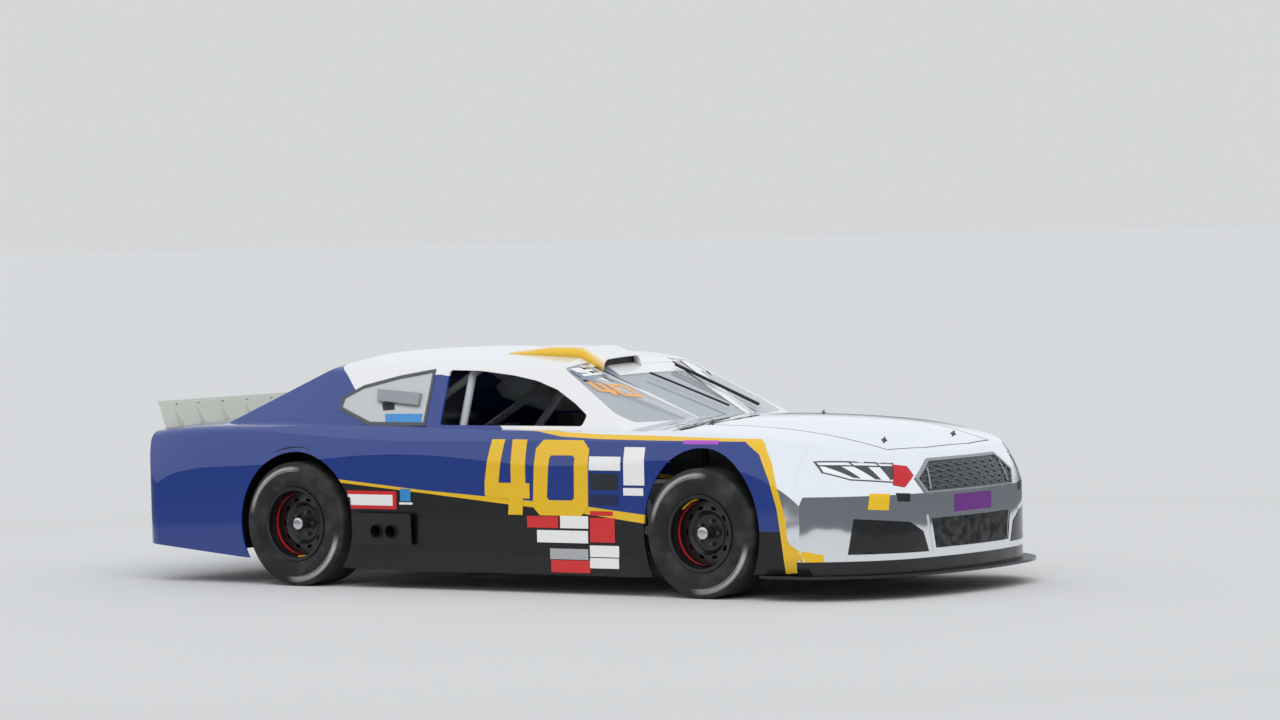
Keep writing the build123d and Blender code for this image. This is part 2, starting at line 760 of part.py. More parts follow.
for side_name, side in (("left", 1), ("right", -1)):
    pivot = Vector(front_x, side * (wheel_offset - kingpin_offset), tyre_radius)
    lean = radians(kingpin_lean)
    steer_direction = Vector(0, -side * sin(lean), cos(lean))
    middle = Vector(front_x, side * wheel_offset, tyre_radius)
    eye_y = side * (wheel_offset - kingpin_offset - steer_arm_in)
    eye_at = Vector(front_x + steer_arm_reach, eye_y, steer_arm_z)
    inboard_y = side * (wheel_offset + disc_in - disc_gap - caliper_wall)
    with BuildPart() as knuckle:
        add(bar(pivot + steer_direction * lower_boss, pivot + steer_direction * upper_boss, upright_radius))
        for place in (lower_boss, upper_boss):
            add(bar(pivot + steer_direction * (place - boss_half),
                    pivot + steer_direction * (place + boss_half), boss_radius))
        boss_end = middle + Vector(0, side * (disc_in - disc_gap), 0)
        add(bar(pivot - Vector(0, side * 8, 0), boss_end, spindle_boss))
        add(bar(pivot, middle + Vector(0, side * (dish_out + spindle_reach), 0), spindle_radius))
        add(caliper(front_x, side))
        wall_y = sorted((inboard_y, inboard_y + side * caliper_wall))
        add(beam((front_x - caliper_arm, wall_y[0], tyre_radius - caliper_arm_half),
                 (front_x, wall_y[1], tyre_radius + caliper_arm_half)))
        add(bar(pivot + Vector(0, 0, steer_arm_z - tyre_radius), eye_at, steer_arm_radius))
        add(bar(eye_at - Vector(0, 0, steer_eye_half), eye_at + Vector(0, 0, steer_eye_half), 17))
        for place, run in ((lower_boss, -1), (upper_boss, 1)):
            add(bar(pivot + steer_direction * (place - run * (boss_half + 1)),
                    pivot + steer_direction * (place + run * (boss_half + 1)), ball_pin + running_gap),
                mode=Mode.SUBTRACT)
    finish(knuckle, f"knuckle_{side_name}")

# Chassis rails, mirrored from left to right
rail_in = 400
rail_out = 460
main_in = 610
main_out = 670
main_foot_z = 110
main_top_z = 210
clip_foot_z = 330
clip_top_z = 410
kick_foot_z = 430
kick_top_z = 510
cross_foot_z = clip_foot_z - 30
weld_sink = 5               # an upright starts this far inside the rail below it
front_cross_x = 900
rear_cross_x = -1060
cross_width = 60
clip_end_x = 2230
radiator_x = 2062
shock_y = 600
shock_top_y = 500
shock_top_z = 560
cell_bar_xs = (-2310, -1830)    # the two cross bars that carry the fuel cell
cell_bar_top_z = 240

# Rails as rows of two opposite corners on the left
rail_rows = [
    ((rear_cross_x, main_in, main_foot_z), (front_cross_x + cross_width, main_out, main_top_z)),
    ((front_cross_x, 0, main_foot_z), (front_cross_x + cross_width, main_in, main_top_z)),
    ((rear_cross_x, 0, main_foot_z), (rear_cross_x + cross_width, main_in, main_top_z)),
    ((front_cross_x, rail_in, main_top_z), (front_cross_x + cross_width, rail_out, clip_top_z)),
    ((front_cross_x, rail_in, clip_foot_z), (clip_end_x, rail_out, clip_top_z)),
    ((clip_end_x - 50, rail_in, clip_top_z), (clip_end_x, rail_out, 480)),
    ((rear_cross_x, rail_in, main_top_z), (rear_cross_x + cross_width, rail_out, kick_top_z)),
    ((rear_cross_x - 1330, rail_in, kick_foot_z), (rear_cross_x, rail_out, kick_top_z)),
    ((-2390, 0, kick_foot_z), (-2340, rail_in, kick_top_z)),
    ((front_x - 220, 0, cross_foot_z), (front_x - 180, rail_out, clip_foot_z)),
    ((front_x + 220, 0, cross_foot_z), (front_x + 260, rail_out, clip_foot_z)),
    ((radiator_x - 2, 0, cross_foot_z - 30), (radiator_x + 48, rail_out, cross_foot_z)),
    ((radiator_x - 2, rail_in, cross_foot_z), (radiator_x + 48, rail_out, clip_foot_z)),
    ((front_x - 120, rail_out - 20, 182), (front_x + 90, rail_out, clip_foot_z)),
    ((front_x - 120, rail_out - 20, clip_top_z), (front_x + 120, rail_out - 8, 515)),
    ((front_x - 35, 0, 185), (front_x + 35, rail_out - 20, 215)),
    ((front_x - 12, rail_out - 20, shock_top_z + 20 + skin_joint), (front_x + 12, 512, shock_top_z + 34)),
]
for bar_x in cell_bar_xs:
    rail_rows.append(((bar_x, 0, cell_bar_top_z - 35), (bar_x + 40, rail_in, cell_bar_top_z)))
    rail_rows.append(((bar_x, rail_in - 30, cell_bar_top_z), (bar_x + 40, rail_in, kick_top_z)))
shock_hoop_y = 446
seated = lower_body(body_wall + skin_joint)
frame_pieces = []
for low, high in rail_rows:
    frame_pieces.append(beam(low, high))
    frame_pieces.append(beam((low[0], -high[1], low[2]), (high[0], -low[1], high[2])))
for side in (1, -1):
    edges = sorted((side * rail_in, side * rail_out))
    reaches = sorted((side * main_out, side * 1000))
    frame_pieces.append(beam((clip_end_x, edges[0], 440), (2600, edges[1], 480)) & seated)
    frame_pieces.append(beam((-2700, edges[0], kick_foot_z), (-2390, edges[1], kick_top_z)) & seated)
    for x in (-700, 300):
        frame_pieces.append(beam((x, reaches[0], 150), (x + 40, reaches[1], 180)) & seated)
    shock_hoop = [(front_x - 120, shock_hoop_y, clip_top_z - 4), (front_x, shock_hoop_y, 590),
                  (front_x + 120, shock_hoop_y, clip_top_z - 4)]
    frame_pieces.append(frame_tube([flip(p, side) for p in shock_hoop], 12, 25))
    for x, foot_z in ((hood_hinge_x, clip_top_z), (deck_hinge_x, kick_top_z)):
        foot_y = side * cross_tube_half
        frame_pieces.append(bar((x, foot_y, foot_z - weld_sink), (x, foot_y, hinge_bar_z), cross_tube))
        ear_from = hinge_boss_half + hinge_side_gap
        for inner in (hinge_half - ear_from - hinge_ear, hinge_half + ear_from):
            ear = sorted((side * inner, side * (inner + hinge_ear)))
            frame_pieces.append(beam((x - hinge_lug, ear[0], hinge_bar_z), (x + hinge_lug, ear[1], hinge_z)))
            frame_pieces.append(bar((x, ear[0], hinge_z), (x, ear[1], hinge_z), hinge_lug))
        pin_half = ear_from + hinge_ear
        frame_pieces.append(bar((x, side * hinge_half - pin_half, hinge_z),
                                (x, side * hinge_half + pin_half, hinge_z), hinge_pin))
for x in (hood_hinge_x, deck_hinge_x):
    tube_half = cross_tube_half + cross_tube
    frame_pieces.append(bar((x, -tube_half, hinge_bar_z), (x, tube_half, hinge_bar_z), cross_tube))
with BuildPart() as chassis_frame:
    add(frame_pieces)
finish(chassis_frame, "chassis_frame")

# Roll cage: round tubes as rows of points on the left, mirrored to the right
cage_radius = 22
hoop_x = -430
dash_bar = (714, 668, 838)  # left end of the bar below the windscreen
cage_side = [
    [(hoop_x, 512, 1188), (150, 492, 1176), (705, 672, 862), (905, 640, 190)],
    [(hoop_x, 440, 1188), (-1650, 430, 490)],
    [(hoop_x, 648, 330), (868, 646, 330)],
    [(hoop_x, 652, 480), (822, 653, 480)],
    [(hoop_x, 655, 630), (776, 660, 630)],
]
under_roof = greenhouse(body_wall + skin_joint)
with BuildPart() as roll_cage:
    add(frame_tube([(hoop_x, 640, 190), (hoop_x, 655, 800), (hoop_x, 520, 1188), (hoop_x, -520, 1188),
                    (hoop_x, -655, 800), (hoop_x, -640, 190)], cage_radius, 80))
    for points in cage_side:
        for side in (1, -1):
            add(frame_tube([flip(p, side) for p in points], cage_radius, 80))
    add(bar((150, -492, 1172), (150, 492, 1172), cage_radius))
    add(bar((dash_bar[0], -dash_bar[1], dash_bar[2]), dash_bar, cage_radius))
    add(bar((hoop_x, -648, 700), (hoop_x, 648, 700), cage_radius))
    add(bar((hoop_x, 470, 1180), (hoop_x, -630, 300), cage_radius))
    for x in (-380, 60):
        for side in (1, -1):
            add(bar((x, side * 495, 1180), (x, side * 495, 1300), 10) & under_roof)
    add(chassis_frame.part, mode=Mode.SUBTRACT)
finish(roll_cage, "roll_cage")

# Floor, tunnel, firewall and rear bulkhead in sheet metal
sheet = 4
floor_z = main_foot_z + 2
floor_half = main_in - skin_joint
tunnel_half = 150
tunnel_top_z = 545
floor_front_x = front_cross_x - skin_joint
floor_rear_x = rear_cross_x + cross_width + skin_joint
firewall_x = front_cross_x + cross_width + skin_joint
firewall_top_z = 830
with BuildPart() as floor_pan:
    with BuildSketch(Plane.YZ.offset(floor_rear_x)):
        with BuildLine():
            Polyline(*both_halves([(floor_half, floor_z), (floor_half, floor_z + sheet),
                                   (tunnel_half + sheet, floor_z + sheet),
                                   (tunnel_half + sheet, tunnel_top_z + sheet)]), close=True)
        make_face()
    extrude(amount=firewall_x + sheet - floor_rear_x)
    for x in (firewall_x, floor_rear_x):
        add(beam((x, -floor_half, main_top_z + skin_joint), (x + sheet, floor_half, firewall_top_z)))
    for side in (1, -1):
        edges = sorted((side * (rail_in - skin_joint), side * (rail_out + skin_joint)))
        add(beam((floor_front_x, edges[0], clip_foot_z - skin_joint),
                 (firewall_x + 10, edges[1], clip_top_z + skin_joint)), mode=Mode.SUBTRACT)
        add(beam((floor_front_x, edges[0], main_foot_z), (firewall_x, edges[1], clip_top_z + skin_joint)),
            mode=Mode.SUBTRACT)
    add(beam((floor_front_x, -floor_half - 1, main_foot_z - 1),
             (firewall_x, floor_half + 1, main_top_z + skin_joint)), mode=Mode.SUBTRACT)
    add(beam((floor_rear_x - 20, -tunnel_half, main_foot_z), (firewall_x + 10, tunnel_half, tunnel_top_z)),
        mode=Mode.SUBTRACT)
finish(floor_pan, "floor_pan")

# Front suspension: wishbones with the ball pins, coil-overs, steering rack and tie rods
arm_radius = 11
pivot_radius = 15
mount_z = 203               # the coil-over's lower pin lies in the lower wishbone
mount_half = 22
shock_eye = 20
rod_radius = 8
rod_eye = 15
rack_radius = 17
rack_half = 300
rack_bracket_x = front_x + 245
rack_bracket_y = 200
wishbone_spread = 105
pin_run = wishbone_spread + 14
lower_pin_front = 88
upper_pivot_z = 493
lower_pivot_z = 201
pivot_y = rail_out + skin_joint + 15
spring_coils = 8
spring_radius = 40
wire_radius = 8
piston_radius = 13
damper_radius = 27
spring_low = 52             # from a coil-over's lower end to its spring seat
spring_high = 42


def coil_over(low, high):
    """Damper with its rod, spring seats and coils, as one revolved profile between two points."""
    run = Vector(*high) - Vector(*low)
    pitch = (run.length - spring_low - spring_high) / spring_coils
    with BuildPart() as unit:
        with BuildSketch(Plane(origin=low, x_dir=run, z_dir=run.cross(Vector(1, 0, 0)))):
            with BuildLine():
                Polyline((0, 0), (0, piston_radius), (30, piston_radius), (30, damper_radius),
                         (spring_low - 8, damper_radius), (spring_low - 8, spring_radius + wire_radius),
                         (spring_low, spring_radius + wire_radius), (spring_low, spring_radius))
                for coil in range(spring_coils):
                    start = spring_low + pitch * coil
                    Line((start, spring_radius), (start + 0.25 * pitch, spring_radius))
                    ThreePointArc((start + 0.25 * pitch, spring_radius),
                                  (start + 0.5 * pitch, spring_radius + wire_radius),
                                  (start + 0.75 * pitch, spring_radius))
                    Line((start + 0.75 * pitch, spring_radius), (start + pitch, spring_radius))
                top = run.length - spring_high
                Polyline((top, spring_radius), (top, spring_radius + wire_radius),
                         (top + 8, spring_radius + wire_radius), (top + 8, piston_radius),
                         (run.length, piston_radius), (run.length, 0), (0, 0))
            make_face()
        revolve(axis=Axis(low, run))
    return unit.part


with BuildPart() as front_suspension:
    for side in (1, -1):
        pivot = Vector(front_x, side * (wheel_offset - kingpin_offset), tyre_radius)
        lean = radians(kingpin_lean)
        steer_direction = Vector(0, -side * sin(lean), cos(lean))
        for place, run, pivot_z in ((upper_boss, 1, upper_pivot_z), (lower_boss, -1, lower_pivot_z)):
            face = pivot + steer_direction * (place + run * (boss_half + skin_joint))
            tip = face + steer_direction * (run * eye_length)
            add(bar(face, tip, boss_radius))
            add(bar(pivot + steer_direction * (place - run * boss_half), tip, ball_pin))
            eye = (face + tip) * 0.5
            for spread in (wishbone_spread, -wishbone_spread):
                add(bar(eye, (front_x + spread, side * pivot_y, pivot_z), arm_radius))
            pin_front = pin_run if run > 0 else lower_pin_front
            add(bar((front_x - pin_run, side * pivot_y, pivot_z),
                    (front_x + pin_front, side * pivot_y, pivot_z), pivot_radius))
        mount_y = sorted((side * (shock_y - mount_half), side * (shock_y + mount_half)))
        add(beam((front_x - 20, mount_y[0], mount_z - 11), (front_x + 20, mount_y[1], mount_z + 13)))
        add(bar((front_x - 56, side * shock_y, mount_z), (front_x + 56, side * shock_y, mount_z), 10))
        add(coil_over((front_x, side * shock_y, mount_z + 7), (front_x, side * shock_top_y, shock_top_z)))
        shock_top = Vector(front_x, side * shock_top_y, shock_top_z)
        add(bar(shock_top - Vector(25, 0, 0), shock_top + Vector(25, 0, 0), shock_eye))
        rod_z = steer_arm_z + 2 * steer_eye_half + rod_gap
        rod_x = front_x + steer_arm_reach
        rod_y = side * (wheel_offset - kingpin_offset - steer_arm_in)
        add(bar((rod_x, 0, rod_z), (rod_x, rod_y, rod_z), rod_radius))
        add(bar((rod_x, 0, rod_z), (rod_x, side * rack_half, rod_z), rack_radius))
        add(bar((rod_x, rod_y, rod_z - steer_eye_half), (rod_x, rod_y, rod_z + steer_eye_half), rod_eye))
        bracket_y = sorted((side * (rack_bracket_y - 20), side * (rack_bracket_y + 20)))
        add(beam((rod_x - 20, bracket_y[0], rod_z),
                 (rack_bracket_x, bracket_y[1], cross_foot_z - skin_joint)))
finish(front_suspension, "front_suspension")

# Rear axle with its centre housing, spindles and calipers
axle_tube = 38
housing_radius = 130
axle_end = wheel_offset + disc_in - disc_gap
bracket_face_y = 520
bracket_foot_z = 283
bracket_top_z = 342         # below the dampers' bodies
with BuildPart() as rear_axle:
    add(bar((rear_x, -axle_end, tyre_radius), (rear_x, axle_end, tyre_radius), axle_tube))
    spindle_end = wheel_offset + dish_out + spindle_reach
    add(bar((rear_x, -spindle_end, tyre_radius), (rear_x, spindle_end, tyre_radius), spindle_radius))
    with Locations((rear_x, 0, tyre_radius)):
        Sphere(housing_radius)
    add(bar((rear_x, -110, tyre_radius), (rear_x, 110, tyre_radius), 105))
    add(bar((rear_x, 0, tyre_radius), (rear_x + 200, 0, tyre_radius), 62))
    for side in (1, -1):
        add(bar((rear_x, side * (axle_end - 14), tyre_radius), (rear_x, side * axle_end, tyre_radius), 60))
        add(caliper(rear_x, side))
        wall_y = sorted((side * (axle_end - caliper_wall), side * axle_end))
        add(beam((rear_x - caliper_arm, wall_y[0], tyre_radius - caliper_arm_half),
                 (rear_x, wall_y[1], tyre_radius + caliper_arm_half)))
        bracket_y = sorted((side * (bracket_face_y - 30), side * bracket_face_y))
        add(beam((rear_x - 118, bracket_y[0], bracket_foot_z), (rear_x + 95, bracket_y[1], bracket_top_z)))
finish(rear_axle, "rear_axle")

# Rear suspension: trailing arms and coil-overs
arm_y = 535
arm_front_x = rear_x + 75
arm_rear_z = 300
arm_pivot_x = rear_cross_x - 17
arm_pivot_z = 160
rear_shock_x = rear_x - 97
rear_shock_z = 312
rear_shock_top_z = 620
with BuildPart() as rear_suspension:
    for side in (1, -1):
        arm_face = side * (bracket_face_y + skin_joint)
        eye_end = side * (arm_y + 17)
        add(bar((arm_front_x, side * arm_y, arm_rear_z), (arm_pivot_x, side * arm_y, arm_pivot_z), 14))
        add(bar((arm_pivot_x, side * (arm_y - 15), arm_pivot_z),
                (arm_pivot_x, side * (arm_y + 15), arm_pivot_z), 16.5))
        add(bar((arm_front_x, arm_face, arm_rear_z), (arm_front_x, eye_end, arm_rear_z), 17))
        add(bar((rear_shock_x, arm_face, rear_shock_z), (rear_shock_x, eye_end, rear_shock_z), 16))
        add(coil_over((rear_shock_x, side * arm_y, rear_shock_z + 6),
                      (rear_shock_x, side * arm_y, rear_shock_top_z)))
        tower_in = side * (rail_out + skin_joint)
        shelf_y = sorted((tower_in, side * (arm_y + 20)))
        tower_y = sorted((tower_in, side * (rail_out + 14)))
        add(beam((rear_shock_x - 26, shelf_y[0], rear_shock_top_z - 14),
                 (rear_shock_x + 26, shelf_y[1], rear_shock_top_z + 14)))
        add(beam((rear_shock_x - 26, tower_y[0], kick_foot_z + 20),
                 (rear_shock_x + 26, tower_y[1], rear_shock_top_z - 14)))
finish(rear_suspension, "rear_suspension")

# Engine as one plain block, gearbox and propeller shaft
engine_x = (1080, 1680)
engine_half = 250
engine_top_z = 700
shaft_z = 400
with BuildPart() as engine_block:
    add(beam((engine_x[0], -engine_half, clip_foot_z + skin_joint), (engine_x[1], engine_half, engine_top_z)))
    chamfer(engine_block.edges().group_by(Axis.Z)[-1].filter_by(Axis.X), 110)
finish(engine_block, "engine_block")
with BuildPart() as driveline:
    with BuildSketch(Plane.XZ):
        with BuildLine():
            shaft_end = rear_x + 200 + skin_joint
            Polyline((engine_x[0] - skin_joint, shaft_z), (engine_x[0] - skin_joint, shaft_z + 140),
                     (930, shaft_z + 135), (840, shaft_z + 95), (520, shaft_z + 80), (490, shaft_z + 36),
                     (430, shaft_z + 36), (430, shaft_z), close=True)
        make_face()
    revolve(axis=Axis((0, 0, shaft_z), (1, 0, 0)))
    add(bar((440, 0, shaft_z), (shaft_end, 0, tyre_radius), 34))
    add(beam((-1300, -200, 0), (shaft_end, 200, 600)), mode=Mode.SUBTRACT)
finish(driveline, "driveline")

cell_half = 330
cell_top_z = 520
with BuildPart() as fuel_cell:
    add(beam((cell_bar_xs[0] + 20, -cell_half, cell_bar_top_z + skin_joint),
             (cell_bar_xs[1] + 20, cell_half, cell_top_z)))
    fillet(fuel_cell.edges().filter_by(Axis.Z), 30)
finish(fuel_cell, "fuel_cell")

# Radiator with grooves between its tube rows
radiator_half = 370
radiator_top_z = 630
radiator_thick = 46
row_pitch = 14
row_gap = 7
row_count = 22
row_depth = 6
with BuildPart() as radiator:
    radiator_foot_z = cross_foot_z + skin_joint
    add(beam((radiator_x, -radiator_half, radiator_foot_z),
             (radiator_x + radiator_thick, radiator_half, radiator_top_z)))
    with BuildSketch(Plane.YZ.offset(radiator_x + radiator_thick)):
        with Locations((0, (radiator_foot_z + radiator_top_z) / 2)):
            with GridLocations(1, row_pitch, 1, row_count):
                Rectangle(2 * radiator_half - 80, row_gap)
    extrude(amount=-row_depth, mode=Mode.SUBTRACT)
finish(radiator, "radiator")

# Side exhaust on the right: outer plate, two tail pipes and a flat silencer
plate_low = (-952, 241)
plate_high = (-540, 414)
silencer_y = (main_out + skin_joint, 880)
silencer_z = (184, 368)
silencer_round = 40
pipe_tip_y = 982
long_pipe_y = 775
long_pipe_radius = 40
plate_wall = 4
plate_foot_y = 963
plate_head_y = 970
with BuildPart() as exhaust_plate:
    add(front_prism([(-plate_foot_y, plate_low[1]), (-plate_head_y, plate_high[1]),
                     (-plate_head_y - plate_wall, plate_high[1]), (-plate_foot_y - plate_wall, plate_low[1])],
                    plate_low[0], plate_high[0]))
    fillet(exhaust_plate.edges().filter_by(Axis.Y, tolerance=5), 14)
with BuildPart() as exhaust:
    add(exhaust_plate.part)
    add(beam((-900, -silencer_y[1], silencer_z[0]), (-560, -silencer_y[0], silencer_z[1])))
    long_edges = exhaust.edges().filter_by(Axis.X)
    fillet(long_edges.filter_by_position(Axis.Y, -silencer_y[1] - 1, -silencer_y[0] + 1), silencer_round)
    for x in pipe_xs:
        add(bar((x, -silencer_y[1] + 20, pipe_z), (x, -pipe_tip_y, pipe_z), pipe_radius))
    for x in pipe_xs:
        add(bar((x, -silencer_y[1] + 60, pipe_z), (x, -pipe_tip_y - 10, pipe_z), pipe_radius - pipe_wall),
            mode=Mode.SUBTRACT)
    add(bar((-570, -long_pipe_y, 250), (560, -long_pipe_y, 250), long_pipe_radius))
finish(exhaust, "exhaust")

# Splitter below the nose
splitter_foot_z = 120
splitter_top_z = 134
splitter_lip = 70
splitter_half = 985
splitter_rear_x = 1765
with BuildPart() as splitter:
    with BuildSketch(Plane.XY.offset(splitter_foot_z)):
        add(nose_outline(-splitter_lip))
    extrude(amount=splitter_top_z - splitter_foot_z)
    add(beam((splitter_rear_x, -splitter_half, splitter_foot_z), (reach, splitter_half, splitter_top_z)),
        mode=Mode.INTERSECT)
    add(outer_lower & beam((nose_seam_x + 1, -reach, splitter_top_z), (reach, reach, nose_foot_z - skin_joint)))
    add(inner_lower & beam((nose_seam_x - 100, -reach, splitter_top_z), (reach, reach, nose_foot_z)),
        mode=Mode.SUBTRACT)
finish(splitter, "splitter")

# Spoiler on the deck lid: foot flange, clear blade and its braces
spoiler_foot = (-2478, 858)
spoiler_top = (-2530, 1004)
spoiler_half = 742
blade_wall = 5
blade_start_z = 700
blade_cut_z = 800
brace_ys = (-620, -430, -215, 0, 215, 430, 620)
brace_wall = 8
brace_foot = 62
with BuildPart() as spoiler:
    with BuildSketch(Plane.XZ.offset(spoiler_half)):
        with BuildLine():
            (fx, fz), (tx, tz) = spoiler_foot, spoiler_top
            Polyline((fx, blade_start_z), (fx, fz), (tx, tz), (tx + blade_wall, tz), (fx + blade_wall, fz),
                     (fx + blade_wall, blade_start_z), close=True)
        make_face()
    extrude(amount=-2 * spoiler_half)
    for y in brace_ys:
        with BuildSketch(Plane.XZ.offset(-y - brace_wall / 2)):
            with BuildLine():
                Polyline((fx + 2, blade_cut_z), (fx + 2, fz + 4), (tx + 8, tz - 12), (fx + 30, fz + 30),
                         (fx + brace_foot, blade_cut_z), close=True)
            make_face()
        extrude(amount=brace_wall)
    add(outer_lower, mode=Mode.SUBTRACT)
    add(beam((-reach, -reach, 0), (reach, reach, blade_cut_z)), mode=Mode.SUBTRACT)
finish(spoiler, "spoiler")

# Lamps and mesh panels in the nose
with BuildPart() as headlamps:
    for side in (1, -1):
        add(lower_ring.part & nose_cutter([(y * side, z) for y, z in lamp_outline], skin_joint))
finish(headlamps, "headlamps")
mesh_openings = [both_halves(grille_outline), both_halves(intake_outline)]
for side in (1, -1):
    mesh_openings.append([(y * side, z) for y, z in duct_outline])
with BuildPart() as grilles:
    for outline in mesh_openings:
        add(lower_ring.part & nose_cutter(outline, skin_joint))
finish(grilles, "grilles")

# Driver's seat on two rails
seat_y = 385
seat_half = 214
seat_wall = 14
seat_side = [(190, 186), (-250, 186), (-330, 250), (-395, 900), (-290, 905), (-225, 560), (-120, 430),
             (190, 400)]
seat_inside = [(260, 200), (-243, 200), (-316, 256), (-381, 960), (-200, 960), (-200, 700), (260, 480)]
with BuildPart() as seat:
    for points, half, mode in ((seat_side, seat_half, Mode.ADD),
                               (seat_inside, seat_half - seat_wall, Mode.SUBTRACT)):
        with BuildSketch(Plane.XZ.offset(-seat_y - half)):
            with BuildLine():
                Polyline(*points, close=True)
            make_face()
        extrude(amount=2 * half, mode=mode)
    for y in (seat_y - 160, seat_y + 160):
        add(beam((-240, y - 14, floor_z + sheet + skin_joint), (180, y + 14, 190)))
    fillet(seat.edges().filter_by(Axis.Y).group_by(Axis.Z)[-1], 4)
finish(seat, "seat")

# Dashboard with the steering column's tube
column_angle = 20
column_direction = Vector(cos(radians(column_angle)), 0, -sin(radians(column_angle)))
wheel_centre = Vector(330, seat_y, 790)
shaft_radius = 12
column_radius = 21
column_end = 340            # the column's tube ends this far ahead of the wheel
dash_rest_z = dash_bar[2] + cage_radius + skin_joint
dash_x = 590
dash_end_x = 780
dash_foot_z = 700
dash_wall = 4
dash_half = 600
with BuildPart() as dashboard:
    with BuildSketch(Plane.XZ.offset(dash_half)):
        with BuildLine():
            Polyline((dash_x, dash_foot_z), (dash_x + 6, dash_rest_z + dash_wall),
                     (dash_end_x, dash_rest_z + dash_wall), (dash_end_x, dash_rest_z),
                     (dash_x + 11, dash_rest_z), (dash_x + 5, dash_foot_z), close=True)
        make_face()
    extrude(amount=-2 * dash_half)
    add(bar(wheel_centre + column_direction * 90, wheel_centre + column_direction * column_end, column_radius))
    add(bar(wheel_centre + column_direction * 80, wheel_centre + column_direction * (column_end + 10),
            shaft_radius + running_gap), mode=Mode.SUBTRACT)
finish(dashboard, "dashboard")
ring_radius = 165
with BuildPart() as steering_wheel:
    with Locations(Plane(origin=wheel_centre, z_dir=column_direction)):
        Torus(ring_radius, 15)
        Cylinder(38, 16)
    add(bar(wheel_centre, wheel_centre + column_direction * 330, shaft_radius))
    wheel_plane_at = Plane(origin=wheel_centre, x_dir=(0, 1, 0), z_dir=column_direction)
    for turn in (0, 180, 270):
        with BuildSketch(wheel_plane_at.offset(-3)):
            with Locations(Rotation(0, 0, turn)):
                with Locations((ring_radius / 2, 0)):
                    Rectangle(ring_radius, 28)
        extrude(amount=6)
finish(steering_wheel, "steering_wheel")

# Net in the driver's window: straps in the leaning plane of the side
net_lean = 36.3
net_plane = Plane(origin=(-110, 738, 1010), x_dir=(1, 0, 0),
                  z_dir=(0, cos(radians(net_lean)), sin(radians(net_lean))))
net_depth = 32.8            # from that plane in to the straps, just inside the skin
with BuildPart() as window_net:
    with BuildSketch(net_plane.offset(-net_depth)):
        with GridLocations(72, 1, 6, 1):
            Rectangle(22, 240)
        with GridLocations(1, 54, 1, 5):
            Rectangle(400, 22)
    extrude(amount=3)
finish(window_net, "window_net")
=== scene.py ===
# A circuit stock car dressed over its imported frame: wrap, paint, glass, tyres, lamps and trim, in metres
import json
import math
import bmesh
import bpy
import numpy as np
from mathutils import Matrix, Vector
from mathutils.bvhtree import BVHTree


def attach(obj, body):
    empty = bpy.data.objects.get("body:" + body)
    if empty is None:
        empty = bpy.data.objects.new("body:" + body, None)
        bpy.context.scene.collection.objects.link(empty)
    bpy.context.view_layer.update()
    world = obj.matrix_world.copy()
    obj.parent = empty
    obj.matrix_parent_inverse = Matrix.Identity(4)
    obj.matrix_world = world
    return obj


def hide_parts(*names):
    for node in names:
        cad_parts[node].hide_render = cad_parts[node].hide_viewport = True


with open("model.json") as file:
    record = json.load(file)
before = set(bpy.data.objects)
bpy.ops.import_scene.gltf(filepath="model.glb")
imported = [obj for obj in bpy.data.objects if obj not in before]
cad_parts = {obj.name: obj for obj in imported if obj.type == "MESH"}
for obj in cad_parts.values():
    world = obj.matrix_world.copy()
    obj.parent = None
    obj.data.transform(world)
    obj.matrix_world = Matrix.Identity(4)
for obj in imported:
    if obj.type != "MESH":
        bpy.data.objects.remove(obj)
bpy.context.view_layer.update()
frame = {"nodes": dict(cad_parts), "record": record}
scene = bpy.context.scene
print("frame loaded:", len(frame["nodes"]), "nodes")


def hexColour(code, alpha=1.0):
    # sRGB hex to linear light: a straight part near black, then the 2.4 power of the shifted value
    parts = [int(code[k:k + 2], 16) / 255 for k in (1, 3, 5)]
    return tuple(c / 12.92 if c <= 0.04045 else ((c + 0.055) / 1.055) ** 2.4 for c in parts) + (alpha,)


def addNode(tree, kind, settings=None, inputs=None):
    # one node: settings are its attributes, inputs are plain values or sockets to link from
    node = tree.nodes.new(kind)
    for key, value in (settings or {}).items():
        setattr(node, key, value)
    for key, value in (inputs or {}).items():
        if isinstance(value, bpy.types.NodeSocket):
            tree.links.new(value, node.inputs[key])
        else:
            node.inputs[key].default_value = value
    return node


def newMaterial(name, colour, settings):
    # a Principled surface; returns the material, its tree and its shader
    material = bpy.data.materials.new(name)
    material.use_nodes = True
    tree = material.node_tree
    shader = tree.nodes["Principled BSDF"]
    shader.inputs["Base Color"].default_value = hexColour(colour)
    for key, value in settings.items():
        shader.inputs[key].default_value = value
    material.diffuse_color = hexColour(colour)
    return material, tree, shader


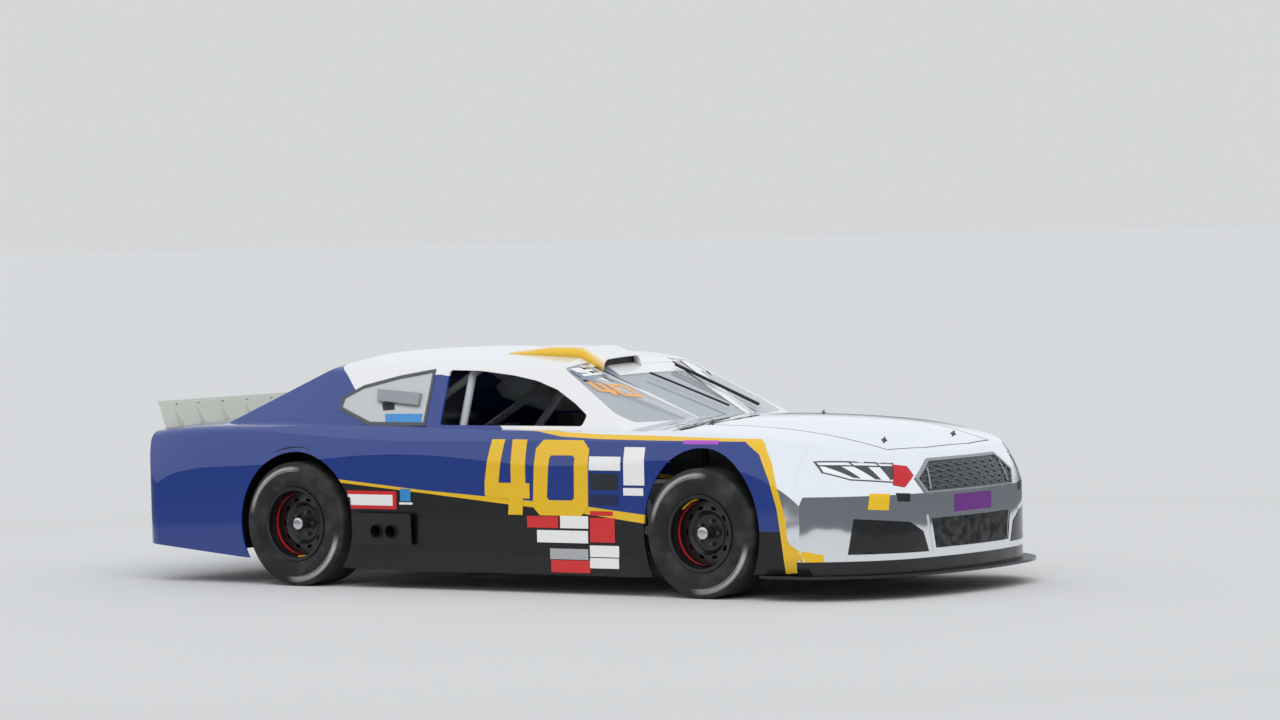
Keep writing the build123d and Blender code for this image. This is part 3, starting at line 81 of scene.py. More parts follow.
def surfaceGrain(tree, shader, spec):
    # height = fine noise, plus a wide noise where there is a wave; roughness = noise in patches; returns the place
    place = addNode(tree, "ShaderNodeTexCoord").outputs["Object"]
    grain = addNode(tree, "ShaderNodeTexNoise", None, {
        "Scale": 1 / spec["size"], "Detail": 3.0, "Vector": place}).outputs["Fac"]
    bump = addNode(tree, "ShaderNodeBump", None, {
        "Strength": spec["strength"], "Distance": spec["height"], "Height": grain}).outputs["Normal"]
    if "wave" in spec:
        wide = addNode(tree, "ShaderNodeTexNoise", None, {"Scale": 1 / spec["wave"], "Detail": 1.0, "Vector": place})
        bump = addNode(tree, "ShaderNodeBump", None, {
            "Strength": spec["waveStrength"], "Distance": spec["waveHeight"], "Height": wide.outputs["Fac"],
            "Normal": bump}).outputs["Normal"]
    tree.links.new(bump, shader.inputs["Normal"])
    if "rough" in spec:
        patch = addNode(tree, "ShaderNodeTexNoise", None, {
            "Scale": 1 / patchSize, "Detail": 4.0, "Vector": place}).outputs["Fac"]
        spread = addNode(tree, "ShaderNodeMapRange", None, {
            "From Min": 0.3, "From Max": 0.7, "To Min": spec["rough"][0], "To Max": spec["rough"][1], "Value": patch})
        tree.links.new(spread.outputs["Result"], shader.inputs["Roughness"])
    return place


def edgeCurve(tree, source, points, low, high, top):
    # a drawn edge: its value at the source coordinate, by straight runs between points over low to high
    scaled = addNode(tree, "ShaderNodeMapRange", None, {"From Min": low, "From Max": high, "Value": source})
    curve = addNode(tree, "ShaderNodeFloatCurve", None, {"Value": scaled.outputs["Result"]})
    line = curve.mapping.curves[0]
    while len(line.points) < len(points):
        line.points.new(0.5, 0.5)
    for spot, (at, value) in zip(line.points, points):
        spot.location = ((at - low) / (high - low), value / top)
        spot.handle_type = "VECTOR"
    curve.mapping.update()
    return addNode(tree, "ShaderNodeMath", {"operation": "MULTIPLY"}, {0: curve.outputs["Value"], 1: top}).outputs[0]


def layered(tree, under, layers):
    # colours laid over each other, each where its mask is 1; returns the last colour socket
    colour = hexColour(under)
    for mask, code in layers:
        colour = addNode(tree, "ShaderNodeMix", {"data_type": "RGBA"}, {
            0: mask, 6: colour, 7: hexColour(code)}).outputs[2]
    return colour


patchSize = 0.15  # patches of wear and dust on any surface
livery = {
    "blue": "#0E3180", "black": "#060607", "yellow": "#E6B90F", "white": "#E2E3E5", "chrome": "#F0F2F4",
    "reach": 2.6, "top": 1.4,
    "coat": (0.6, 0.12),  # wet coat on the colours, and on the duller black below
    "rough": (0.2, 0.05, 0.32),  # colours, chrome film, black below
    # 1.2 mm orange peel, and a slow wave in the panel below it
    "panelGrain": {"size": 0.0012, "strength": 0.03, "height": 0.0001, "wave": 0.22, "waveStrength": 0.3,
                   "waveHeight": 0.005},
    "roofGrain": {"size": 0.0012, "strength": 0.03, "height": 0.0001, "wave": 0.25, "waveStrength": 0.25,
                  "waveHeight": 0.004},
    # x, z of each edge, read off the side of the car
    "beltUpper": [(-2.6, 1.4), (-0.4, 1.4), (0.0, 0.898), (0.26, 0.884), (0.44, 0.862), (0.69, 0.852), (1.04, 0.848),
                  (1.62, 0.836), (2.6, 0.836)],
    "beltLower": [(-2.6, 1.4), (-0.4, 1.38), (0.0, 0.872), (0.26, 0.864), (0.44, 0.838), (0.69, 0.828), (1.04, 0.824),
                  (1.55, 0.822), (2.6, 0.822)],
    "pinUpper": [(-2.6, 0), (-1.45, 0), (-1.35, 0.615), (-1.125, 0.598), (-0.479, 0.542), (0.592, 0.475),
                 (1.02, 0.432), (1.3, 0.36), (2.6, 0.36)],
    "pinLower": [(-2.6, 0), (-1.45, 0), (-1.35, 0.6), (-1.125, 0.581), (-0.479, 0.527), (0.068, 0.478),
                 (0.578, 0.436), (1.02, 0.386), (1.3, 0.36), (2.6, 0.36)],
    # z, x of the stripe ahead of the front arch
    "frontInner": [(0, 1.893), (0.2, 1.893), (0.367, 1.869), (0.482, 1.851), (0.62, 1.806), (0.757, 1.725),
                   (0.82, 1.628), (0.9, 1.45), (1.4, 1.4)],
    "frontOuter": [(0, 1.93), (0.23, 1.921), (0.425, 1.906), (0.574, 1.861), (0.712, 1.808), (0.815, 1.741),
                   (0.9, 1.6), (1.4, 1.5)],
    # x, z above which the roof is white
    "roofWhite": [(-2.6, 1.4), (-1.5, 1.3), (-1.26, 1.15), (-1.143, 1.062), (-1.1, 1.062), (-0.87, 1.118),
                  (-0.60, 1.155), (-0.48, 1.14), (-0.3, 1.05), (0.0, 0.86), (0.3, 0.8), (2.6, 0.8)],
    # masks worked out from the place and the edges, each from two earlier ones
    "masks": [("isAbove", "GREATER_THAN", "z", "beltUpper"), ("isAhead", "GREATER_THAN", "x", "frontOuter"),
              ("isChrome", "MAXIMUM", "isAbove", "isAhead"), ("isBehind", "LESS_THAN", "x", "frontInner"),
              ("underPin", "LESS_THAN", "z", "pinLower"), ("isLow", "MULTIPLY", "underPin", "isBehind"),
              ("overPin", "GREATER_THAN", "z", "pinUpper"), ("underBelt", "LESS_THAN", "z", "beltLower"),
              ("between", "MULTIPLY", "underBelt", "isBehind"), ("isBlue", "MULTIPLY", "overPin", "between")],
}


def liveryMaterial(spec):
    # gloss vinyl wrap on moulded composite: solid colours under a wet coat, and mirror chrome film above and ahead
    material, tree, shader = newMaterial("liveryWrap", spec["blue"], {"Coat Weight": 0.5, "Coat Roughness": 0.03})
    axes = addNode(tree, "ShaderNodeSeparateXYZ", None, {"Vector": surfaceGrain(tree, shader, spec["panelGrain"])})
    value = {"x": axes.outputs["X"], "z": axes.outputs["Z"]}
    reach, top = spec["reach"], spec["top"]
    for key in ("beltUpper", "beltLower", "pinUpper", "pinLower"):
        value[key] = edgeCurve(tree, value["x"], spec[key], -reach, reach, top)
    for key in ("frontInner", "frontOuter"):
        value[key] = edgeCurve(tree, value["z"], spec[key], 0, top, reach)
    for key, operation, a, b in spec["masks"]:
        value[key] = addNode(tree, "ShaderNodeMath", {"operation": operation}, {0: value[a], 1: value[b]}).outputs[0]
    colour = layered(tree, spec["yellow"], (
        (value["isBlue"], spec["blue"]), (value["isLow"], spec["black"]), (value["isChrome"], spec["chrome"])))
    tree.links.new(colour, shader.inputs["Base Color"])
    tree.links.new(value["isChrome"], shader.inputs["Metallic"])
    rough = addNode(tree, "ShaderNodeMapRange", None, {
        "To Min": spec["rough"][0], "To Max": spec["rough"][1], "Value": value["isChrome"]})
    dull = addNode(tree, "ShaderNodeMapRange", None, {
        "To Min": rough.outputs["Result"], "To Max": spec["rough"][2], "Value": value["isLow"]})
    tree.links.new(dull.outputs["Result"], shader.inputs["Roughness"])
    wet = addNode(tree, "ShaderNodeMapRange", None, {
        "To Min": spec["coat"][0], "To Max": spec["coat"][1], "Value": value["isLow"]})
    tree.links.new(wet.outputs["Result"], shader.inputs["Coat Weight"])
    return material


glossWrap = {"Roughness": 0.2, "Coat Weight": 0.5, "Coat Roughness": 0.03}


def roofMaterial(spec):
    # gloss vinyl wrap: white over the cabin, blue on the pillars below and behind the edge line
    material, tree, shader = newMaterial("roofWrap", spec["white"], glossWrap)
    axes = addNode(tree, "ShaderNodeSeparateXYZ", None, {"Vector": surfaceGrain(tree, shader, spec["roofGrain"])})
    edge = edgeCurve(tree, axes.outputs["X"], spec["roofWhite"], -spec["reach"], spec["reach"], spec["top"])
    isWhite = addNode(tree, "ShaderNodeMath", {"operation": "GREATER_THAN"}, {0: axes.outputs["Z"], 1: edge})
    tree.links.new(layered(tree, spec["blue"], ((isWhite.outputs[0], spec["white"]),)), shader.inputs["Base Color"])
    return material


scoopPaint = {"slope": -0.12, "across": -0.285, "blend": 0.04}  # y of the colour's edge = across + slope * x


def scoopMaterial(spec, paint):
    # gloss vinyl wrap: white on top, running softly into yellow down the right flank
    material, tree, shader = newMaterial("scoopWrap", spec["white"], glossWrap)
    axes = addNode(tree, "ShaderNodeSeparateXYZ", None, {"Vector": surfaceGrain(tree, shader, spec["roofGrain"])})
    edge = addNode(tree, "ShaderNodeMath", {"operation": "MULTIPLY_ADD"}, {
        0: axes.outputs["X"], 1: paint["slope"], 2: paint["across"]})
    past = addNode(tree, "ShaderNodeMath", {"operation": "SUBTRACT"}, {0: axes.outputs["Y"], 1: edge.outputs[0]})
    flank = addNode(tree, "ShaderNodeMapRange", {"interpolation_type": "SMOOTHSTEP"}, {
        "From Min": 0.0, "From Max": -paint["blend"], "Value": past.outputs[0]})
    tree.links.new(layered(tree, spec["white"], ((flank.outputs["Result"], spec["yellow"]),)),
                   shader.inputs["Base Color"])
    return material


tyreLook = {
    "rubber": "#161617", "dust": "#3A3938", "scuff": "#C4C4C0",
    "ringAt": 0.104, "ringHalf": 0.02,  # the scuffed ring, along the profile from the bead
    "arcShift": 0.153, "arcEnds": (-0.1, 0.5),  # where round the wall its two arcs lie, and how they fade
    "streaks": (5.0, 260.0, 1.0),
    "grain": {"size": 0.003, "strength": 0.25, "height": 0.0004, "rough": (0.6, 0.85)},
}


def tyreMaterial(spec):
    # moulded rubber: a dull dark wall, dust in patches, and two pale arcs scuffed round the wall.
    # An arc's mask is the cosine of twice the turn, times how near the place is to the ring, times streaks
    material, tree, shader = newMaterial("scuffedTyreRubber", spec["rubber"], {"Roughness": 0.7})
    place = surfaceGrain(tree, shader, spec["grain"])
    turn = addNode(tree, "ShaderNodeUVMap", {"uv_map": "turn"}).outputs["UV"]
    axes = addNode(tree, "ShaderNodeSeparateXYZ", None, {"Vector": turn})
    value = {"round": axes.outputs["X"], "along": axes.outputs["Y"], "shift": spec["arcShift"],
             "twice": 4 * math.pi, "ringAt": spec["ringAt"], "none": 0.0}
    for key, operation, a, b in (("shifted", "ADD", "round", "shift"), ("angle", "MULTIPLY", "shifted", "twice"),
                                 ("wave", "COSINE", "angle", "none"), ("off", "SUBTRACT", "along", "ringAt"),
                                 ("offset", "ABSOLUTE", "off", "none")):
        value[key] = addNode(tree, "ShaderNodeMath", {"operation": operation}, {0: value[a], 1: value[b]}).outputs[0]
    ends = addNode(tree, "ShaderNodeMapRange", {"interpolation_type": "SMOOTHSTEP"}, {
        "From Min": spec["arcEnds"][0], "From Max": spec["arcEnds"][1], "Value": value["wave"]})
    ring = addNode(tree, "ShaderNodeMapRange", {"interpolation_type": "SMOOTHSTEP"}, {
        "From Min": spec["ringHalf"], "From Max": spec["ringHalf"] * 0.35, "Value": value["offset"]})
    streaks = addNode(tree, "ShaderNodeMapping", None, {"Scale": spec["streaks"], "Vector": turn}).outputs["Vector"]
    scuff = addNode(tree, "ShaderNodeTexNoise", None, {
        "Scale": 1.0, "Detail": 5.0, "Roughness": 0.65, "Vector": streaks}).outputs["Fac"]
    patchy = addNode(tree, "ShaderNodeMapRange", None, {"From Min": 0.38, "From Max": 0.62, "Value": scuff})
    arcs = addNode(tree, "ShaderNodeMath", {"operation": "MULTIPLY"}, {
        0: ends.outputs["Result"], 1: ring.outputs["Result"]})
    mask = addNode(tree, "ShaderNodeMath", {"operation": "MULTIPLY"}, {
        0: arcs.outputs[0], 1: patchy.outputs["Result"]})
    dust = addNode(tree, "ShaderNodeTexNoise", None, {"Scale": 9.0, "Detail": 6.0, "Vector": place}).outputs["Fac"]
    dusty = addNode(tree, "ShaderNodeMapRange", None, {"From Min": 0.45, "From Max": 0.75, "Value": dust})
    colour = layered(tree, spec["rubber"], (
        (dusty.outputs["Result"], spec["dust"]), (mask.outputs[0], spec["scuff"])))
    tree.links.new(colour, shader.inputs["Base Color"])
    return material


meshLook = {"wire": "#0D0D0E", "dust": "#4A4A4B", "patch": 0.05,
            "grain": {"size": 0.006, "strength": 0.8, "height": 0.002, "rough": (0.45, 0.75)}}


def meshMaterial(spec):
    # woven black steel wire with 6 mm openings: reads as a dark, broken surface, greyed by dust in patches
    material, tree, shader = newMaterial("dustyWireMesh", spec["wire"], {"Roughness": 0.55, "Metallic": 0.3})
    place = surfaceGrain(tree, shader, spec["grain"])
    patch = addNode(tree, "ShaderNodeTexNoise", None, {"Scale": 1 / spec["patch"], "Detail": 8.0, "Vector": place})
    dusty = addNode(tree, "ShaderNodeMapRange", None, {
        "From Min": 0.4, "From Max": 0.7, "Value": patch.outputs["Fac"]}).outputs["Result"]
    tree.links.new(layered(tree, spec["wire"], ((dusty, spec["dust"]),)), shader.inputs["Base Color"])
    return material


def plainMaterial(name, colour, settings, grain):
    # one colour, broken up by its grain and by patches of roughness
    material, tree, shader = newMaterial(name, colour, settings)
    surfaceGrain(tree, shader, grain)
    return material


def grainOf(size, strength, height, *rough):
    # grain of a plain finish: size and height in metres, then the range of its roughness
    return {"size": size, "strength": strength, "height": height, "rough": rough}


def clearMaterial(name, colour, seeThrough, roughness):
    # polycarbonate sheet: nearly clear face on, more mirror and haze at a low angle
    material, tree, shader = newMaterial(name, colour, {
        "Roughness": roughness, "IOR": 1.58, "Coat Weight": 0.5, "Coat Roughness": 0.02})
    glance = addNode(tree, "ShaderNodeFresnel", None, {"IOR": 1.45}).outputs[0]
    alpha = addNode(tree, "ShaderNodeMapRange", None, {
        "From Min": 0.03, "From Max": 0.6, "To Min": 1 - seeThrough, "To Max": 1.0, "Value": glance})
    tree.links.new(alpha.outputs["Result"], shader.inputs["Alpha"])
    return material


materials = {
    "livery": liveryMaterial(livery),
    "roof": roofMaterial(livery),
    "scoop": scoopMaterial(livery, scoopPaint),
    "tyre": tyreMaterial(tyreLook),
    "wireMesh": meshMaterial(meshLook),
    # chrome vinyl film: a mirror with a faint wave from the panel below
    "chrome": plainMaterial("chromeFilm", livery["chrome"], {"Metallic": 1.0, "Roughness": 0.05},
                            livery["panelGrain"]),
    # moulded plastic, satin: a soft, wide sheen with road dust in patches; its grain is drawn coarser than real, 3 mm
    "blackTrim": plainMaterial("satinBlackPlastic", "#151517", {"Roughness": 0.45},
                               grainOf(0.003, 0.15, 0.0003, 0.35, 0.6)),
    # the same plastic polished: sharper, brighter edges to its lights
    "blackGloss": plainMaterial("glossBlackPlastic", "#0B0B0C", {"Roughness": 0.22, "Coat Weight": 0.4},
                                grainOf(0.003, 0.05, 0.0002, 0.18, 0.35)),
    # sprayed steel tube: a low sheen along each tube
    "frameSteel": plainMaterial("blackSteelTube", "#26272A", {"Roughness": 0.4, "Metallic": 0.2},
                                grainOf(0.004, 0.1, 0.0003, 0.3, 0.5)),
    # enamelled steel tube: pale grey with a clear line of light
    "cagePaint": plainMaterial("greyEnamelTube", "#B9BCC0", {"Roughness": 0.28, "Coat Weight": 0.3},
                               grainOf(0.003, 0.08, 0.0002, 0.22, 0.4)),
    # rolled sheet: a blurred metal sheen
    "aluminium": plainMaterial("brushedAluminiumSheet", "#A9ABAE", {"Metallic": 1.0, "Roughness": 0.38},
                               grainOf(0.002, 0.12, 0.0002, 0.3, 0.5)),
    # turned iron: warm grey metal, uneven from heat
    "castIron": plainMaterial("machinedCastIron", "#6C6A68", {"Metallic": 0.9, "Roughness": 0.42},
                              grainOf(0.003, 0.2, 0.0003, 0.35, 0.55)),
    # powder coat: flat colour with a fine peel
    "springPaint": plainMaterial("redPowderCoat", "#A01A16", {"Roughness": 0.35},
                                 grainOf(0.002, 0.15, 0.0002, 0.3, 0.45)),
    # stoved enamel on pressed steel: near black with small bright edges
    "wheelSteel": plainMaterial("blackWheelEnamel", "#101012", {"Roughness": 0.3, "Coat Weight": 0.3},
                                grainOf(0.004, 0.1, 0.0002, 0.25, 0.45)),
    # turned and polished metal: the brightest small lights on the car
    "silver": plainMaterial("polishedAluminium", "#D4D5D6", {"Metallic": 1.0, "Roughness": 0.18},
                            grainOf(0.002, 0.05, 0.0001, 0.14, 0.28)),
    # painted pressings: darker and lighter metal round the openings
    "darkMetal": plainMaterial("greyGrilleMetal", "#5B5E61", {"Metallic": 0.7, "Roughness": 0.35},
                               grainOf(0.002, 0.1, 0.0002, 0.28, 0.45)),
    "bezelMetal": plainMaterial("satinBezelMetal", "#9A9DA0", {"Metallic": 0.8, "Roughness": 0.28},
                                grainOf(0.002, 0.08, 0.0002, 0.22, 0.38)),
    # woven cloth and webbing: no gloss, a pale sheen at the edges; threads are drawn near 2 mm, wider than real ones
    "seatCloth": plainMaterial("blackWovenSeatCloth", "#1A1A1D", {"Roughness": 0.85, "Sheen Weight": 0.3},
                               grainOf(0.0015, 0.5, 0.0006, 0.75, 0.95)),
    "webbing": plainMaterial("blackNylonWebbing", "#131315", {"Roughness": 0.8, "Sheen Weight": 0.2},
                             grainOf(0.002, 0.5, 0.0006, 0.7, 0.9)),
    "redWebbing": plainMaterial("redNylonWebbing", "#C21726", {"Roughness": 0.7, "Sheen Weight": 0.2},
                                grainOf(0.002, 0.4, 0.0005, 0.6, 0.8)),
    # sand-cast metal: dull grey with a 4 mm skin
    "engineMetal": plainMaterial("castAluminium", "#77797C", {"Metallic": 0.8, "Roughness": 0.5},
                                 grainOf(0.004, 0.3, 0.0005, 0.4, 0.6)),
    # lacquered reflector shell, and the smoked plastic between its pockets: both with a wet top coat
    "lampShell": plainMaterial("silveredLampShell", "#E8EBED", {
        "Roughness": 0.16, "Metallic": 0.35, "Coat Weight": 0.6}, grainOf(0.003, 0.04, 0.0001, 0.12, 0.24)),
    "lampDark": plainMaterial("smokedLampPlastic", "#33363A", {"Roughness": 0.2, "Coat Weight": 0.6},
                              grainOf(0.003, 0.04, 0.0001, 0.15, 0.3)),
    "screenClear": clearMaterial("hardCoatedScreen", "#C6CED6", 0.62, 0.06),
    "paneClear": clearMaterial("hazyPolycarbonate", "#D2D7DA", 0.30, 0.14),
    "bladeClear": clearMaterial("scuffedPolycarbonate", "#E6E9DF", 0.45, 0.2),
    "stripTint": clearMaterial("tintedStripFilm", "#8E9BB0", 0.35, 0.2),
}
vinylColours = {"white": "#E9EAEB", "red": "#CF1B1F", "dark": "#1D2026", "navy": "#14214F", "purple": "#6A1B86",
                "magenta": "#A94BC4", "sky": "#2E86C6", "yellow": livery["yellow"], "amber": "#E8A03A",
                "grey": "#A8ABAE"}
for colourName, code in vinylColours.items():  # printed gloss vinyl: flat colour with a thin, even shine
    materials[colourName] = plainMaterial(colourName + "Vinyl", code, {
        "Roughness": 0.25, "Coat Weight": 0.4, "Coat Roughness": 0.05}, grainOf(0.002, 0.05, 0.0001, 0.2, 0.35))
print("materials:", len(materials))

finishOf = {  # record slot -> material of the nodes that keep their own shape
    "body_paint": "livery", "chrome_wrap": "chrome", "black_trim": "blackTrim", "polycarbonate": "paneClear",
    "tyre_rubber": "blackTrim", "wheel_steel": "wheelSteel", "brake_iron": "castIron", "frame_steel": "frameSteel",
    "cage_paint": "cagePaint", "aluminium_sheet": "aluminium", "engine_metal": "engineMetal",
    "spring_paint": "springPaint", "seat_shell": "seatCloth", "webbing": "webbing", "lamp_cover": "lampShell",
}
ownFinish = {"roof_shell": "roof", "windshield": "screenClear", "rear_window": "screenClear", "spoiler": "bladeClear",
             "grilles": "wireMesh", "splitter": "blackGloss"}
slotOf = {part["node"]: part["material_slot"] for part in frame["record"]["subparts"]}
for nodeName, node in frame["nodes"].items():
    node.data.materials.clear()
    node.data.materials.append(materials[ownFinish.get(nodeName, finishOf[slotOf[nodeName]])])


def addPiece(name, mesh, material, body, slotName, *replaced):
    # links a finished mesh into the scene and lets it ride on its body
    piece = bpy.data.objects.new(name, mesh)
    scene.collection.objects.link(piece)
    mesh.materials.clear()
    mesh.materials.append(material)
    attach(piece, body)
    if replaced:
        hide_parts(*replaced)
    return piece


def gridMesh(name, grid, wrapU=False, wrapV=False, smooth=True):
    # quads over a grid of points (rows u, columns v), closed round either way where asked
    rows, columns = grid.shape[:2]
    u = np.arange(rows if wrapU else rows - 1)
    v = np.arange(columns if wrapV else columns - 1)
    a, b = np.meshgrid(u, v, indexing="ij")
    a2, b2 = (a + 1) % rows, (b + 1) % columns
    faces = np.stack([a * columns + b, a2 * columns + b, a2 * columns + b2, a * columns + b2], axis=-1).reshape(-1, 4)
    mesh = bpy.data.meshes.new(name)
    mesh.from_pydata(grid.reshape(-1, 3).tolist(), [], faces.tolist())
    mesh.polygons.foreach_set("use_smooth", np.full(len(mesh.polygons), smooth))
    mesh.update()
    return mesh


def joinedMesh(name, meshes):
    # several meshes as one, one after another, with nothing moved
    form = bmesh.new()
    for part in meshes:
        form.from_mesh(part)
        bpy.data.meshes.remove(part)
    mesh = bpy.data.meshes.new(name)
    form.to_mesh(mesh)
    form.free()
    return mesh


def outward(mesh, merged=None):
    # every face turned to the outside, after points nearer than the merged distance have become one
    form = bmesh.new()
    form.from_mesh(mesh)
    if merged:
        bmesh.ops.remove_doubles(form, verts=form.verts[:], dist=merged)
    bmesh.ops.recalc_face_normals(form, faces=form.faces[:])
    form.to_mesh(mesh)
    form.free()
    return mesh


def latheMesh(name, profile, centre, side, turns=(0.0, 1.0), segments=128):
    # (outward, radius) points turned about a wheel's axis, from and to the given shares of a turn: x and z are the
    # radius times cosine and sine of the angle. The turn map holds the share of a turn, and the way along the profile
    count = max(8, int(segments * (turns[1] - turns[0])))
    angle = 2 * math.pi * np.linspace(turns[0], turns[1], count + 1)
    out, radius = np.array(profile, float).T
    grid = np.stack([centre[0] + np.outer(np.cos(angle), radius),
                     centre[1] + side * np.outer(np.ones(count + 1), out),
                     centre[2] + np.outer(np.sin(angle), radius)], axis=-1)
    mesh = gridMesh(name, grid)
    along = np.concatenate([[0], np.cumsum(np.hypot(np.diff(out), np.diff(radius)))])
    turn = np.stack(np.meshgrid(np.linspace(turns[0], turns[1], count + 1), along, indexing="ij"), axis=-1)
    corner = np.empty(len(mesh.loops), int)
    mesh.loops.foreach_get("vertex_index", corner)
    mesh.uv_layers.new(name="turn").data.foreach_set("uv", turn.reshape(-1, 2)[corner].ravel())
    return outward(mesh, 1e-6) if turns == (0.0, 1.0) else mesh


def arcPoints(p, q, r, count):
    # points along the circle through p, q and r: its centre is as far from each, and the angle runs evenly
    d = 2 * (p[0] * (q[1] - r[1]) + q[0] * (r[1] - p[1]) + r[0] * (p[1] - q[1]))
    pp, qq, rr = (c[0] ** 2 + c[1] ** 2 for c in (p, q, r))
    cx = (pp * (q[1] - r[1]) + qq * (r[1] - p[1]) + rr * (p[1] - q[1])) / d
    cy = (pp * (r[0] - q[0]) + qq * (p[0] - r[0]) + rr * (q[0] - p[0])) / d
    first, middle, last = (math.atan2(c[1] - cy, c[0] - cx) for c in (p, q, r))
    turn = (last - first) % (2 * math.pi)
    if (middle - first) % (2 * math.pi) > turn:
        turn -= 2 * math.pi
    radius, angle = math.hypot(p[0] - cx, p[1] - cy), first + turn * np.arange(count + 1) / count
    return np.stack([cx + radius * np.cos(angle), cy + radius * np.sin(angle)], axis=-1)


def tubeMesh(name, points, radius, sides=10):
    # round tube: a circle square to the line at each of its points, and both ends drawn to a point
    path = np.array(points, float)
    ahead = np.gradient(path, axis=0)
    ahead /= np.linalg.norm(ahead, axis=1, keepdims=True)
    helper = np.where(np.abs(ahead[:, 2:3]) < 0.9, [[0.0, 0.0, 1.0]], [[1.0, 0.0, 0.0]])
    across = np.cross(ahead, helper)
    across /= np.linalg.norm(across, axis=1, keepdims=True)
    up = np.cross(across, ahead)
    angle = np.linspace(0, 2 * math.pi, sides, endpoint=False)
    ring = (across[:, None] * np.cos(angle)[None, :, None] + up[:, None] * np.sin(angle)[None, :, None]) * radius
    grid = path[:, None] + ring
    ends = [np.repeat(path[k][None, None], sides, axis=1) for k in (0, -1)]
    return outward(gridMesh(name, np.concatenate([ends[0], grid, ends[1]]), wrapV=True))


def insetOutline(points, gap):
    # outline with every edge moved inwards by gap, outwards where it is negative: a corner moves by the sum of its
    # two edge normals over one plus their product
    p = np.array(points, float)
    area = np.sum(p[:, 0] * np.roll(p[:, 1], -1) - np.roll(p[:, 0], -1) * p[:, 1])
    along = np.roll(p, -1, axis=0) - p
    along /= np.linalg.norm(along, axis=1, keepdims=True)
    inward = np.stack([-along[:, 1], along[:, 0]], axis=-1) * (1 if area > 0 else -1)
    before = np.roll(inward, 1, axis=0)
    shift = (inward + before) / (1 + np.sum(inward * before, axis=1, keepdims=True))
    return [tuple(q) for q in p + shift * gap]


def ringQuads(points, outer, inner):
    # frame between two insets of one outline, as quads
    a, b = insetOutline(points, outer), insetOutline(points, inner)
    count = len(points)
    return [[a[k], a[(k + 1) % count], b[(k + 1) % count], b[k]] for k in range(count)]


def lineQuads(points, width):
    # strip of the given width along a drawn line, as quads
    p = np.array(points, float)
    along = np.gradient(p, axis=0)
    along /= np.linalg.norm(along, axis=1, keepdims=True)
    side = np.stack([-along[:, 1], along[:, 0]], axis=-1) * width / 2
    near, far = [tuple(q) for q in p + side], [tuple(q) for q in p - side]
    return [[near[k], near[k + 1], far[k + 1], far[k]] for k in range(len(p) - 1)]


def surfaceOf(*nodeNames):
    # one search tree over the CAD nodes that trim lies on
    points, faces = [], []
    for name in nodeNames:
        mesh = frame["nodes"][name].data
        start = len(points)
        points += [vertex.co.copy() for vertex in mesh.vertices]
        faces += [[start + k for k in polygon.vertices] for polygon in mesh.polygons]
    return BVHTree.FromPolygons(points, faces)


# how drawn outlines lie: where the cast starts, the two drawn axes, and the direction of the cast
castFrom = {
    "right": (Vector((0, -1.2, 0)), Vector((1, 0, 0)), Vector((0, 0, 1)), Vector((0, 1, 0))),
    "left": (Vector((0, 1.2, 0)), Vector((1, 0, 0)), Vector((0, 0, 1)), Vector((0, -1, 0))),
    "front": (Vector((2.8, 0, 0)), Vector((0, 1, 0)), Vector((0, 0, 1)), Vector((-1, 0, 0))),
}
drape = {"step": 0.02, "sideReach": 0.009, "gapDepth": 0.0012, "footSink": 0.001, "missStart": 0.3,
         "ahead": 2.8, "above": 1.6}


def drapedMesh(name, outlines, view, surface, lift, walled=False, step=drape["step"]):
    # flat outlines cut along a grid of lines; each point is cast onto the surface, and moved off it by lift along its
    # normal, with the walls' feet just below it. Ray casts take the points one by one
    start, a, b, towards = castFrom[view]
    form = bmesh.new()
    for outline in outlines:
        form.faces.new([form.verts.new((p, q, 0)) for p, q in outline])
    bmesh.ops.remove_doubles(form, verts=form.verts[:], dist=1e-5)
    flat = np.array([vertex.co[:2] for vertex in form.verts])
    for axis in range(2):
        for place in np.arange(math.ceil(flat[:, axis].min() / step) * step, flat[:, axis].max(), step):
            normal = Vector([float(axis == k) for k in range(3)])
            bmesh.ops.bisect_plane(form, geom=form.verts[:] + form.edges[:] + form.faces[:], dist=1e-6,
                                   plane_co=normal * float(place), plane_no=normal)
    feet = set()
    if walled:
        rim = [edge for edge in form.edges if len(edge.link_faces) == 1]
        made = bmesh.ops.extrude_edge_only(form, edges=rim)["geom"]
        feet = {item for item in made if isinstance(item, bmesh.types.BMVert)}
    for vertex in form.verts:
        origin = start + a * vertex.co.x + b * vertex.co.y
        place, normal, index, distance = surface.ray_cast(origin, towards)
        around = [surface.ray_cast(origin + shift * drape["sideReach"], towards) for shift in (a, -a, b, -b)]
        for one, other in (around[:2], around[2:]):
            if one[0] and other[0] and (place is None or distance > max(one[3], other[3]) + drape["gapDepth"]):
                place, normal, distance = (one[0] + other[0]) / 2, one[1], (one[3] + other[3]) / 2  # over a panel gap
        if place is None:
            place, normal, index, distance = surface.find_nearest(origin + towards * drape["missStart"])
        if normal.dot(towards) > 0:
            normal = -normal
        vertex.co = place + normal * (-drape["footSink"] if vertex in feet else lift)
    bmesh.ops.recalc_face_normals(form, faces=form.faces[:])
    mesh = bpy.data.meshes.new(name)
    form.to_mesh(mesh)
    form.free()
    facing = np.empty(len(mesh.polygons) * 3)
    mesh.polygons.foreach_get("normal", facing)
    if np.sum(facing.reshape(-1, 3) @ np.array(towards)) > 0:
        mesh.flip_normals()
    mesh.polygons.foreach_set("use_smooth", np.full(len(mesh.polygons), not walled))
    return mesh


def rectangle(x0, z0, x1, z1):
    # corners of an upright rectangle, from two opposite ones
    return [(x0, z0), (x1, z0), (x1, z1), (x0, z1)]


